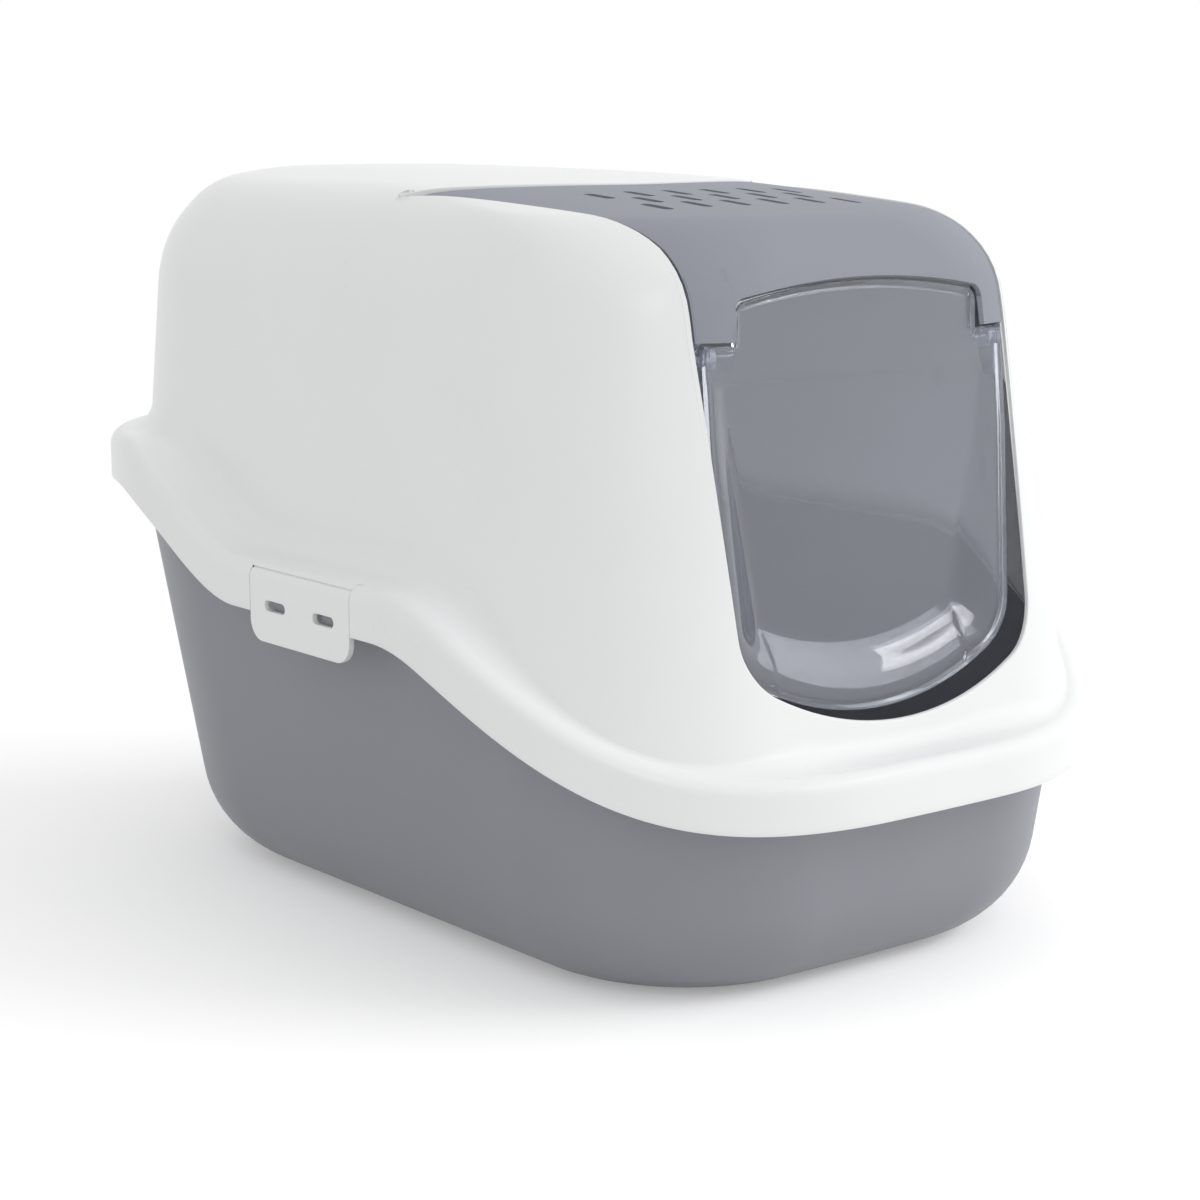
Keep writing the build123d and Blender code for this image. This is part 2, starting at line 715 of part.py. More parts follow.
for side, name in zip(sides, ("left_clip", "right_clip")):
    clip_part = side_clip(side)
    clip_part.label = name
    export_step(clip_part, f"parts/{name}.step")
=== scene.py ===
"""Cat litter box with hood: shells, door, clips and filter pad as worked-out surfaces, and their plastics."""

import bmesh
import bpy
import numpy as np
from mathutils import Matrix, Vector


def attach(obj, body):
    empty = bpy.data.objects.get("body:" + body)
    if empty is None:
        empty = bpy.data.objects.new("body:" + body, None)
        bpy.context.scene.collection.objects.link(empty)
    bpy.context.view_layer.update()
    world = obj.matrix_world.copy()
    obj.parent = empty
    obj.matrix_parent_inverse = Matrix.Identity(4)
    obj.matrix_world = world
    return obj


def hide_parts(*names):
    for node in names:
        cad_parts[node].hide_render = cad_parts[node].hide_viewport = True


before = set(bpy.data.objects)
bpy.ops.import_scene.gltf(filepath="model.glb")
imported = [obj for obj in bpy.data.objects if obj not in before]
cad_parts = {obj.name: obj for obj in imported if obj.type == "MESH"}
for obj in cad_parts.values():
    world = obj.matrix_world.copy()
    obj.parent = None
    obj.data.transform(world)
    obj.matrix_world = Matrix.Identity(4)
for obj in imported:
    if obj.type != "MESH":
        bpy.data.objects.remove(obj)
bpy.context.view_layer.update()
scene = bpy.context.scene

# Sizes in millimetres, in the frame of the solids: X width, Y length with the entrance at -Y, Z up
MM = 0.001

RIM_HALF_WIDTH = 195.0
RIM_HALF_LENGTH = 280.0
RIM_BOWS = (1600.0, 2000.0)
RIM_CORNERS = (160.0, 154.0)
RIM_REAR_TRIM = 0.06
RIM_FRONT_Z = 92.0
RIM_CLIP_Z = 165.0
RIM_REAR_Z = 214.0
RIM_FRONT_END = -275.0
CLIP_LEVEL_FRONT = -84.0
CLIP_LEVEL_REAR = 40.0
RIM_REAR_START = 175.0
SKIRT_HEIGHT = 26.0
SKIRT_ROUND = 8.0
SKIRT_FOOT_ROUND = 0.8
FLANGE_FILLET = 18.0

HEIGHT = 385.0
HOOD_WALL = 2.3
SIDE_WALL = (176.0, 90.0, 5.2, 65.0, 860.0)
FRONT_WALL = (367.4, 190.0, 8.4, 46.0, 2900.0)
REAR_WALL = (144.0, 200.0, 3.3, 31.0, 2900.0)
ROOF_PEAK_Y = 125.0
ROOF_CAP = 0.55
HOOD_BOW = 1600.0
HOOD_FRONT_CORNER = 97.0
HOOD_REAR_CORNERS = (134.0, 106.0)

OPENING_HALF = 102.5
OPENING_FOOT_HALF = 95.5
OPENING_FOOT = 131.0
OPENING_SAG = 30.0
OPENING_CORNER = 34.0
OPENING_CORNER_RISE = 49.0
OPENING_EDGE_ROUND = 1.0
LIP_DEPTH = 15.0
LIP_STEP = 8.0

VISOR_HALF = 101.0
VISOR_KEEP = 85.0
VISOR_REAR_HALF = 115.9
VISOR_REAR_Y = -17.0
VISOR_REAR_BOW = 38.0
VISOR_SPLAY_Y = -190.0
VISOR_GAP = 1.5
VISOR_REAR_GAP = 2.5
VISOR_CORNER_GAP = 10.8
VISOR_DROP = 1.0
VISOR_WALL = 2.5
VISOR_FRONT_Z = 312.5
VISOR_BEND_Z = 345.0
NOTCH_HALF = 81.0
NOTCH_HEIGHT = 27.0
NOTCH_SIDE = 19.0
NOTCH_CORNER = 7.0
EAR_SIDE = 100.2
EAR_WALL = 2.5
EAR_DEPTH = 16.0
EAR_RECESS = 6.0
EAR_STEP = 4.0
EAR_FOOT_Z = 284.0
EAR_FOOT_ROUND = 6.0
EAR_TOP_RISE = 30.0
VISOR_AXIS = (-19.0, 370.15)
SLOT_HALF_LENGTH = 11.0
SLOT_HALF_WIDTH = 3.0
SLOT_COLUMN_PITCH = 12.5
SLOT_ROW_PITCH = 44.0
SLOT_FIELD_Y = -117.0
SLOT_SIDE_COLUMNS = 5
SLOT_RUN = (-78.0, -174.0)

DOOR_AXIS = (-208.5, 305.0)
DOOR_LEAN = np.radians(5.5)
DOOR_AHEAD = 5.5
DOOR_SHEET = 2.0
DOOR_HALF = 97.2
DOOR_SIDE_GAP = 3.0
DOOR_FOOT = 133.0
DOOR_CORNER_RISE = 47.0
DOOR_SHOULDER_Z = 310.0
DOOR_SHOULDER_ROUND = 2.5
DOOR_CREST_HALF = 78.8
DOOR_CREST_Z = 337.3
DOOR_CREST_DEPTH = 5.5
DISH_TOP_Z = 298.0
DISH_TOP_STEP = 9.0
DISH_LOW_Z = 153.0
FOOT_EDGE_REACH = 60.0
DISH_BORDER = 4.0
DISH_DEPTHS = (1.5, 12.0)
DISH_INSETS = (8.0, 32.0)
DOOR_BEAD = 0.8
DOOR_BEAD_WIDTH = 2.4

CLIP_Y = -22.0
CLIP_HALF = 45.0
CLIP_GAP = 0.6
CLIP_ROOM = 8.0
CLIP_WALL = 3.0
CLIP_BEVEL = 0.7
CLIP_FOOT_Z = 151.0
CLIP_CORNER = 11.0
CLIP_AXIS = (191.0, 183.9)
CLIP_BARREL = 4.0
CLIP_SLOT_Z = 170.0
CLIP_SLOT_SHIFT = 22.0
CLIP_SLOT_HALF = (9.5, 2.75)
CLIP_ROWS = ((164.5, 166.0), (174.0, 178.0, 181.5))
CLIP_NOTCH_TOP = 23.5

TRAY_WALL = 3.0
TRAY_SIDE = (149.5, np.radians(8.1))
TRAY_FRONT = (248.0, np.radians(4.6))
TRAY_REAR = (232.0, np.radians(6.3))
TRAY_CORNERS = (105.0, 135.0)
TRAY_FLOOR_ROUND = 53.0
TRAY_FOOT_TURN = 0.47 * np.pi
TRAY_MIDDLE_Y = 5.0
TRAY_LIP_INSET = 8.4
TRAY_LIP_TOP = 23.1
TRAY_LIP = 3.0
TRAY_LIP_ROUND = 0.998
TRAY_CLIP_HALF = 184.4
NOSE_REACH = 191.6
NOSE_HALF = (8.0, 3.5)

FILTER_HALF = (75.0, 53.0)
FILTER_THICKNESS = 7.0
FILTER_RIPPLE = 0.25
CASSETTE_HALF = 77.9
CASSETTE_LENGTH = 111.8
CASSETTE_REAR_Y = -68.0
CASSETTE_DROP = 6.5
CASSETTE_HEIGHT = 9.4
CASSETTE_FLOOR = 2.0
CASSETTE_HINGE = 8.0
LUG_X = 62.0

# Round bars across X: inner end, outer end and radius
VISOR_BARREL = (110.5, 114.3, 3.9)
VISOR_PIN = (113.0, 119.3, 1.5)
LUG = (60.4, 63.4, 5.0)
DOOR_BARREL = (89.2, 97.1, 5.4)
DOOR_PIN = (96.5, 99.9, 2.5)
PIN_CHAMFER = 0.3

# Bends that shade as an edge, and that a bevel rounds
SHARP_EDGE = np.radians(40)
BEVEL_EDGE = np.radians(50)

# Shares of half a turn round an outline: front bow, front corner, side, rear corner, rear bow
FRONT_BOW_END = 0.06
FRONT_CORNER_END = 0.36
SIDE_END = 0.66
REAR_CORNER_END = 0.95


def smooth(value):
    """Smooth step: 3 v^2 - 2 v^3 of v held between 0 and 1."""
    v = np.clip(value, 0, 1)
    return v * v * (3 - 2 * v)


def leg(longest, other):
    """Third side of a right triangle: sqrt(c^2 - a^2), and 0 where c is the shorter one."""
    return np.sqrt(np.maximum(longest ** 2 - other ** 2, 0))


def rim_height(y):
    """Height of the rim's lower edge: three level runs joined by two smooth steps along Y."""
    front_step = smooth((y - RIM_FRONT_END) / (CLIP_LEVEL_FRONT - RIM_FRONT_END))
    rear_step = smooth((y - CLIP_LEVEL_REAR) / (RIM_REAR_START - CLIP_LEVEL_REAR))
    return RIM_FRONT_Z + (RIM_CLIP_Z - RIM_FRONT_Z) * front_step + (RIM_REAR_Z - RIM_CLIP_Z) * rear_step


def outline(turn, half_width, front, rear, bows, corners):
    """Point and outward normal of a level outline, turn 0 at the front middle and 0.25 on the right.

    Each half is a bow about a far centre, a round corner that touches it, a straight side, a second
    corner and a second bow. The normal's angle grows from 0 to 180 degrees in fixed shares of the turn.
    """
    side = np.where(turn < 0.5, 1.0, -1.0)
    half = np.where(turn < 0.5, 2 * turn, 2 - 2 * turn)
    front_bow, rear_bow = bows
    front_corner, rear_corner = corners
    front_x = half_width - front_corner
    rear_x = half_width - rear_corner
    front_tilt = np.arcsin(front_x / (front_bow - front_corner))
    rear_tilt = np.arcsin(rear_x / (rear_bow - rear_corner))
    front_y = front + front_bow - leg(front_bow - front_corner, front_x)
    rear_y = rear - rear_bow + leg(rear_bow - rear_corner, rear_x)

    def share(start, end):
        return np.clip((half - start) / (end - start), 0, 1)

    angle = front_tilt * share(0, FRONT_BOW_END)
    angle = angle + (np.pi / 2 - front_tilt) * share(FRONT_BOW_END, FRONT_CORNER_END)
    angle = angle + (np.pi / 2 - rear_tilt) * share(SIDE_END, REAR_CORNER_END)
    angle = angle + rear_tilt * share(REAR_CORNER_END, 1)
    sine, cosine = np.sin(angle), np.cos(angle)
    runs = [half < FRONT_BOW_END, half < FRONT_CORNER_END, half < SIDE_END, half < REAR_CORNER_END]
    x = np.select(
        runs,
        [front_bow * sine, front_x + front_corner * sine, half_width + 0 * sine, rear_x + rear_corner * sine],
        rear_bow * sine)
    y = np.select(
        runs,
        [front + front_bow - front_bow * cosine, front_y - front_corner * cosine,
         front_y + (rear_y - front_y) * share(FRONT_CORNER_END, SIDE_END), rear_y - rear_corner * cosine],
        rear - rear_bow - rear_bow * cosine)
    return side * x, y, side * sine, -cosine


def rim_outline(turn, inset=0.0):
    """The rim's outline moved in by inset. Its rear is trimmed to stay inside the solids' box."""
    half_length = RIM_HALF_LENGTH - inset
    bows = [bow - inset for bow in RIM_BOWS]
    corners = [corner - inset for corner in RIM_CORNERS]
    return outline(turn, RIM_HALF_WIDTH - inset, -half_length, half_length - RIM_REAR_TRIM, bows, corners)


def shoulder(z, wall, inset):
    """Outward distance at height z of a leaning wall, a round shoulder and a bowed roof.

    The shoulder is an arc that touches the wall's line and the roof's arc, which peaks at HEIGHT.
    """
    wall_u, wall_z, draft, radius, bow = wall
    slope = np.tan(np.radians(draft))
    stretch = np.hypot(1, slope)
    roof_centre = HEIGHT - bow
    reach = wall_u + wall_z * slope - radius * stretch
    a = slope ** 2 + 1
    b = -2 * (reach * slope + roof_centre)
    c = reach ** 2 + roof_centre ** 2 - (bow - radius) ** 2
    centre_z = (-b + np.sqrt(b ** 2 - 4 * a * c)) / (2 * a)
    centre_u = reach - slope * centre_z
    wall_end = centre_z + (radius - inset) * slope / stretch
    roof_start = centre_z + (radius - inset) * (centre_z - roof_centre) / (bow - radius)
    leaning = wall_u - (z - wall_z) * slope - inset * stretch
    rounded = centre_u + leg(radius - inset, z - centre_z)
    roofed = leg(bow - inset, z - roof_centre)
    return np.where(z <= wall_end, leaning, np.where(z <= roof_start, rounded, roofed))


def hood_reach(z, inset):
    """Half width, front, rear, front corner and rear corner of the hood's outline at height z."""
    half_width = shoulder(z, SIDE_WALL, inset)
    front = ROOF_PEAK_Y - shoulder(z, FRONT_WALL, inset)
    rear = ROOF_PEAK_Y + shoulder(z, REAR_WALL, inset)
    climb = (z - RIM_FRONT_Z) / (HEIGHT - RIM_FRONT_Z)
    foot_corner, roof_corner = HOOD_REAR_CORNERS
    rear_corner = foot_corner + (roof_corner - foot_corner) * climb
    largest = 0.8 * half_width
    front_corner = np.minimum(HOOD_FRONT_CORNER - inset, largest)
    return half_width, front, rear, front_corner, np.minimum(rear_corner - inset, largest)


def hood_gap(x, y, z, inset):
    """How far a point lies outside the hood's outline at its height, below 0 inside."""
    half_width, front, rear, front_corner, rear_corner = hood_reach(z, inset)
    bow = HOOD_BOW - inset
    bow_fall = bow - leg(bow, np.minimum(np.abs(x), half_width))

    def end(past, corner):
        past_x = np.abs(x) - (half_width - corner)
        fall = bow - leg(bow - corner, half_width - corner)
        cornered = np.hypot(np.maximum(past_x, 0), np.maximum(past + fall, 0)) - corner
        return np.where(past_x <= 0, np.maximum(past + bow_fall, -corner), cornered)

    return np.maximum(end(front - y, front_corner), end(y - rear, rear_corner))


def hood_roof(x, y, inset=0.0):
    """Height of the hood's outside over a point of the plan, by halving the span of heights."""
    low = np.full(np.shape(x), RIM_FRONT_Z)
    high = np.full(np.shape(x), HEIGHT - inset)
    for _ in range(36):
        z = (low + high) / 2
        inside = hood_gap(x, y, z, inset) < 0
        low = np.where(inside, z, low)
        high = np.where(inside, high, z)
    return low


def hood_front(x, z, inset=0.0):
    """Y of the hood's front at a place across and a height: the bow, or the round corner beside it."""
    half_width, front, _, corner, _ = hood_reach(z, inset)
    bow = HOOD_BOW - inset
    past = np.maximum(np.abs(x) - (half_width - corner), 0)
    front_y = front + bow - leg(bow - corner, half_width - corner)
    bowed = front + bow - leg(bow, x)
    rounded = front_y - leg(corner, past)
    return np.where(past > 0, rounded, bowed)


def opening_half(z):
    """Half width of the entrance at a height: its sides slant from the foot out to the visor's edge."""
    foot_side = OPENING_FOOT + OPENING_SAG
    climb = (np.minimum(z, VISOR_FRONT_Z) - foot_side) / (VISOR_FRONT_Z - foot_side)
    return OPENING_FOOT_HALF + (OPENING_HALF - OPENING_FOOT_HALF) * climb


def visor_side(y, gap, rear):
    """Half width at Y of the visor's plan made larger by gap: straight at the front, splayed to the rear."""
    splay = np.clip((y - VISOR_SPLAY_Y) / (rear - VISOR_SPLAY_Y), 0, 1)
    return VISOR_HALF + gap + (VISOR_REAR_HALF - VISOR_HALF) * splay


def visor_rear(x, half, rear, bow):
    """Y of a rear edge between two corners at x = +-half: a circle's arc that bows to the front."""
    radius = (half ** 2 + bow ** 2) / (2 * bow)
    return rear - bow + radius - leg(radius, x)


def bowl(x, half, sag, corner):
    """Height over the lowest point of a bowed foot between two sides, with a round corner at each side."""
    bow = (half ** 2 + sag ** 2) / (2 * sag)
    corner_x = half - corner
    corner_z = bow - leg(bow - corner, corner_x)
    touch = bow * corner_x / (bow - corner)
    past = np.clip(np.abs(x) - corner_x, 0, corner)
    bowed = bow - leg(bow, np.minimum(np.abs(x), touch))
    rounded = corner_z - leg(corner, past)
    return np.where(np.abs(x) <= touch, bowed, rounded)


def crest(x, half, top, side_drop, corner):
    """Height of an arched top edge with a round corner at each end."""
    return top - bowl(np.clip(x, -half, half), half, side_drop, corner)


def along(values, start, end):
    """Values between two arrays or numbers: start at 0 and end at 1, one row for each value."""
    start, end = np.broadcast_arrays(start, end)
    return start + (end - start) * np.reshape(values, (-1,) + (1,) * start.ndim)


def stack(x, y, z):
    """Grid of points from three arrays that broadcast together."""
    return np.stack(np.broadcast_arrays(x, y, z), axis=-1)


def grid_quads(rows, columns, closed=False):
    """Quads of a grid of points, row by row. A closed grid joins its last column to its first."""
    ids = np.arange(rows * columns).reshape(rows, columns)
    if closed:
        ids = np.hstack([ids, ids[:, :1]])
    return np.stack([ids[:-1, :-1], ids[:-1, 1:], ids[1:, 1:], ids[1:, :-1]], axis=-1).reshape(-1, 4)


def sheet(grid, closed=False, holes=None):
    """Points and quads of a grid, without the quads that holes marks in its first rows."""
    quads = grid_quads(grid.shape[0], grid.shape[1], closed)
    if holes is not None:
        quads = np.concatenate([quads[:holes.size][~holes.ravel()], quads[holes.size:]])
    return grid.reshape(-1, 3), quads


def slab(outer, inner):
    """Closed shell between two grids of one shape: both grids and the strip that joins their borders."""
    rows, columns = outer.shape[:2]
    count = rows * columns
    ids = np.arange(count).reshape(rows, columns)
    border = np.concatenate([ids[0, :-1], ids[:-1, -1], ids[-1, :0:-1], ids[:0:-1, 0]])
    after = np.roll(border, -1)
    quads = grid_quads(rows, columns)
    strip = np.stack([after, border, border + count, after + count], axis=-1)
    points = np.concatenate([outer.reshape(-1, 3), inner.reshape(-1, 3)])
    return points, np.concatenate([quads, quads[:, ::-1] + count, strip])


def rod(side, bar, place, edge=0.5):
    """Round bar across X on one side: a profile with chamfered ends turned about its axis."""
    near, far, radius = bar
    start, end = sorted((side * near, side * far))
    reach = np.array([start, start, start + edge, end - edge, end, end])
    size = np.array([0.02, radius - edge, radius, radius, radius - edge, 0.02])
    angle = np.linspace(0, 2 * np.pi, 33)[:-1]
    across = place[0] + size[:, None] * np.cos(angle)
    up = place[1] + size[:, None] * np.sin(angle)
    return sheet(stack(reach[:, None] + 0 * angle, across, up), closed=True)


def block(side, span, low, high):
    """Box with rounded edges on one side of X = 0, between two corners of Y and Z.

    It is a super-ellipsoid |x|^8 + |y|^8 + |z|^8 = 1.
    """
    u = np.linspace(-np.pi / 2, np.pi / 2, 17)[:, None]
    v = np.linspace(-np.pi, np.pi, 33)[None, :-1]

    def power(value):
        return np.sign(value) * np.abs(value) ** 0.25

    start, end = sorted((side * span[0], side * span[1]))
    low, high = np.array([start, *low]), np.array([end, *high])
    ball = stack(power(np.cos(u)) * power(np.cos(v)), power(np.cos(u)) * power(np.sin(v)), power(np.sin(u)))
    return sheet((low + high) / 2 + (high - low) / 2 * ball, closed=True)


def join(*meshes):
    """One mesh from several pairs of points and quads."""
    counts = np.cumsum([0] + [len(points) for points, _ in meshes[:-1]])
    points = np.concatenate([points for points, _ in meshes])
    return points, np.concatenate([quads + count for (_, quads), count in zip(meshes, counts)])


def widen_slots(across, length, centres, half_length, half_width):
    """Round the ends of straight slots in a grid: lengthwise places shrink to the end circles.

    Within a slot's width the half length at distance d from its middle line is the straight part
    plus sqrt(r^2 - d^2). The quads inside are marked as holes.
    """
    straight = half_length - half_width
    mid_across = (across[:-1, :-1] + across[1:, 1:]) / 2
    mid_length = (length[:-1, :-1] + length[1:, 1:]) / 2
    holes = np.zeros(mid_across.shape, bool)
    warped = length.copy()
    for across_0, length_0 in centres:
        d = np.abs(across - across_0)
        end = straight + leg(half_width, d)
        near = (d < half_width + 0.01) & (np.abs(length - length_0) < half_length + 0.01)
        warped = np.where(near, length_0 + (length - length_0) * end / half_length, warped)
        holes |= (np.abs(mid_across - across_0) < half_width) & (np.abs(mid_length - length_0) < half_length)
    return warped, holes


def new_object(name, data):
    """Object of a mesh, a lamp or a camera, in the scene."""
    item = bpy.data.objects.new(name, data)
    scene.collection.objects.link(item)
    return item


def make_piece(name, mesh_data, body, slot, nodes, wall=0.0, bevel=0.0):
    """Mesh object with the material of a slot that rides on a body and stands for its nodes.

    A wall above 0 thickens a sheet inwards, and a bevel rounds its sharp edges. Both are applied.
    """
    points, quads = mesh_data
    mesh = bpy.data.meshes.new(name)
    mesh.vertices.add(len(points))
    mesh.vertices.foreach_set("co", (points * MM).astype(np.float32).ravel())
    mesh.loops.add(quads.size)
    mesh.loops.foreach_set("vertex_index", quads.astype(np.int32).ravel())
    mesh.polygons.add(len(quads))
    mesh.polygons.foreach_set("loop_start", np.arange(0, quads.size, 4, dtype=np.int32))
    mesh.update(calc_edges=True)
    mesh.validate()
    if not wall:
        closed = bmesh.new()
        closed.from_mesh(mesh)
        bmesh.ops.remove_doubles(closed, verts=closed.verts, dist=0.01 * MM)
        bmesh.ops.recalc_face_normals(closed, faces=closed.faces)
        closed.to_mesh(mesh)
        closed.free()
    piece = new_object(name, mesh)
    if wall:
        solidify = piece.modifiers.new("wall", "SOLIDIFY")
        solidify.thickness = wall * MM
        solidify.offset = -1
    if bevel:
        rounding = piece.modifiers.new("edges", "BEVEL")
        rounding.width = bevel * MM
        rounding.segments = 3
        rounding.limit_method = "ANGLE"
        rounding.angle_limit = BEVEL_EDGE
    depsgraph = bpy.context.evaluated_depsgraph_get()
    finished = bpy.data.meshes.new_from_object(piece.evaluated_get(depsgraph))
    piece.modifiers.clear()
    piece.data = finished
    finished.name = name
    finished.polygons.foreach_set("use_smooth", np.ones(len(finished.polygons), bool))
    finished.set_sharp_from_angle(angle=SHARP_EDGE)
    finished.materials.clear()
    finished.materials.append(materials[slot])
    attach(piece, body)
    if nodes:
        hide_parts(*nodes)
    return piece


def opening_path():
    """Edge of the hood's cut-out on its right half, from the foot's middle to the rear edge's middle.

    The foot and its corner are the bowl curve. The side slants up the front, then splays over the roof
    above the visor's plan, and the rear edge is an arc across the roof. Lengths along it come with it.
    """
    foot_half = opening_half(OPENING_FOOT + OPENING_CORNER_RISE)
    corner_x = foot_half - OPENING_CORNER
    foot_x = np.concatenate([
        np.linspace(0, corner_x, 60), corner_x + OPENING_CORNER * np.sin(np.linspace(0.02, np.pi / 2, 60))])
    foot_z = OPENING_FOOT + bowl(foot_x, foot_half, OPENING_SAG, OPENING_CORNER)
    foot = stack(foot_x, hood_front(foot_x, foot_z), foot_z)
    side_z = np.linspace(foot_z[-1] + 0.5, VISOR_BEND_Z, 300)
    side_x = opening_half(side_z)
    side = stack(side_x, hood_front(side_x, side_z), side_z)
    rear = VISOR_REAR_Y + VISOR_CORNER_GAP
    roof_y = np.linspace(side[-1, 1] + 0.5, rear, 500)
    roof_x = visor_side(roof_y, VISOR_GAP, rear)
    roof = stack(roof_x, roof_y, hood_roof(roof_x, roof_y))
    rear_x = np.linspace(roof_x[-1] - 0.5, 0, 160)
    rear_y = visor_rear(rear_x, roof_x[-1], rear, VISOR_REAR_BOW + VISOR_CORNER_GAP - VISOR_REAR_GAP)
    back = stack(rear_x, rear_y, hood_roof(rear_x, rear_y))
    path = np.concatenate([foot, side, roof, back])
    lengths = np.concatenate([[0], np.cumsum(np.linalg.norm(np.diff(path, axis=0), axis=1))])
    return path, lengths, lengths[len(foot) - 1], lengths[len(path) - len(back) - 1]


def side_turn(y):
    """Turn at which the rim's straight right side passes a place along Y."""
    edges = np.array([FRONT_CORNER_END, SIDE_END]) / 2
    ends = rim_outline(edges)[1]
    return np.interp(y, ends, edges)


def hood_sheet():
    """The hood's outside as one ring of profiles, from the skirt's foot over the wall to the cut-out's lip.

    Each column starts on the rim's outline and goes in along its normal: up the skirt, round its top
    edge, over the flange and up a concave fillet to the wall. From there it follows the wall and the
    roof, above a straight line of the plan, to its place on the cut-out's edge, in even steps.
    The fillet is a soft minimum of its size and the room for it: a sum of powers -6, to the power -1/6. The
    roof's peak sinks by ROOF_CAP exp((z - HEIGHT) / 1.5), which keeps it inside the solids' box.
    """
    rear_column_y = 12.0
    front_mark, side_mark = 36.0, 150.0
    widest_flange, lift = 70.0, 12.0
    path, lengths, foot_end, side_end = opening_path()
    notch_edges = np.array([CLIP_Y - CLIP_HALF - CLIP_GAP, CLIP_Y + CLIP_HALF + CLIP_GAP])
    rear_turn = side_turn(rear_column_y)
    right = np.unique(np.concatenate([
        np.linspace(0, 0.5, 180)[:-1], [rear_turn],
        side_turn(notch_edges - 0.04), side_turn(notch_edges + 0.04)]))
    turn = np.concatenate([right, [0.5], 1 - right[:0:-1]])
    x, y, nx, ny = rim_outline(turn)
    half = np.minimum(turn, 1 - turn)
    anchors = [0, FRONT_BOW_END / 2, 0.5 * (FRONT_BOW_END + FRONT_CORNER_END) / 2, FRONT_CORNER_END / 2,
               rear_turn, 0.5]
    marks = [0, front_mark, foot_end, foot_end + side_mark, side_end, lengths[-1]]
    reach = np.interp(half, anchors, marks)
    sign = np.where(turn <= 0.5, 1.0, -1.0)
    edge = np.stack([np.interp(reach, lengths, path[:, axis]) for axis in range(3)], axis=-1)
    edge[:, 0] *= sign

    base = rim_height(y)
    in_notch = (np.abs(y - CLIP_Y) < CLIP_HALF + CLIP_GAP) & (np.abs(x) > RIM_HALF_WIDTH - 1)
    start = np.where(in_notch, CLIP_NOTCH_TOP, 0.0)
    straight = SKIRT_HEIGHT - SKIRT_ROUND
    rise = np.concatenate([
        [0, 0.25, SKIRT_FOOT_ROUND], np.linspace(4, straight, 4),
        straight + SKIRT_ROUND * np.sin(np.linspace(0, np.pi / 2, 12)[1:])])
    h = start + rise[:, None] / SKIRT_HEIGHT * (SKIRT_HEIGHT - start)
    depth = SKIRT_ROUND - leg(SKIRT_ROUND, np.maximum(h - straight, 0))
    foot_round = np.maximum(SKIRT_FOOT_ROUND - h, 0)
    depth = depth + SKIRT_FOOT_ROUND - leg(SKIRT_FOOT_ROUND, foot_round)
    skirt = stack(x - nx * depth, y - ny * depth, base + h)

    flange_z = base + SKIRT_HEIGHT
    heights = np.stack([flange_z, flange_z + lift])
    near, far = np.full(heights.shape, SKIRT_ROUND), np.full(heights.shape, widest_flange)
    for _ in range(40):
        mid = (near + far) / 2
        outside = hood_gap(x - nx * mid, y - ny * mid, heights, 0.0) > 0
        near, far = np.where(outside, mid, near), np.where(outside, far, mid)
    wall_depth, upper_depth = near
    lean = np.arctan2(upper_depth - wall_depth, lift)
    bend_share = np.tan(np.pi / 4 - lean / 2)
    limits = np.stack([
        FLANGE_FILLET * bend_share, np.maximum(wall_depth - SKIRT_ROUND - 0.5, 1.0),
        0.6 * np.maximum(edge[:, 2] - flange_z, 2.0)])
    cut = np.sum(limits ** -6.0, axis=0) ** (-1 / 6)
    fillet = cut / bend_share
    flat_depth = np.linspace(SKIRT_ROUND, wall_depth - cut, 4)[1:-1]
    flange = stack(x - nx * flat_depth, y - ny * flat_depth, flange_z)
    bend = np.linspace(0, 1, 12)[:, None] * (np.pi / 2 - lean)
    bend_depth = wall_depth - cut + fillet * np.sin(bend)
    root = stack(x - nx * bend_depth, y - ny * bend_depth, flange_z + fillet * (1 - np.cos(bend)))

    wall_start = root[-1]
    steps = np.linspace(0, 1, 220) ** 1.5
    trial = along(steps, wall_start[:, :2], edge[:, :2])
    trial_z = hood_roof(trial[..., 0], trial[..., 1])
    trial_z[0], trial_z[-1] = wall_start[:, 2], edge[:, 2]
    trial = np.concatenate([trial, trial_z[..., None]], axis=-1)
    run = np.cumsum(np.linalg.norm(np.diff(trial, axis=0), axis=-1), axis=0)
    rows = np.linspace(0, 1, 90)[:, None] * (1 - 1.3 * OPENING_EDGE_ROUND / run[-1])
    run = np.vstack([np.zeros(len(x)), run]) / run[-1]
    columns = 2.0 * np.arange(len(x))
    even = np.interp(
        (rows + columns).ravel(order="F"), (run + columns).ravel(order="F"),
        np.tile(steps, len(x))).reshape(len(rows), len(x), order="F")
    plan = wall_start[:, :2] + (edge[:, :2] - wall_start[:, :2]) * even[..., None]
    wall = np.concatenate([plan, hood_roof(plan[..., 0], plan[..., 1])[..., None]], axis=-1)
    on_foot = reach < foot_end
    front = wall_start + (edge - wall_start) * rows[..., None]
    front = stack(front[..., 0], hood_front(front[..., 0], front[..., 2]), front[..., 2])
    wall[:, on_foot] = front[:, on_foot]
    wall[0] = wall_start
    wall[..., 2] -= ROOF_CAP * np.exp((wall[..., 2] - HEIGHT) / 1.5)

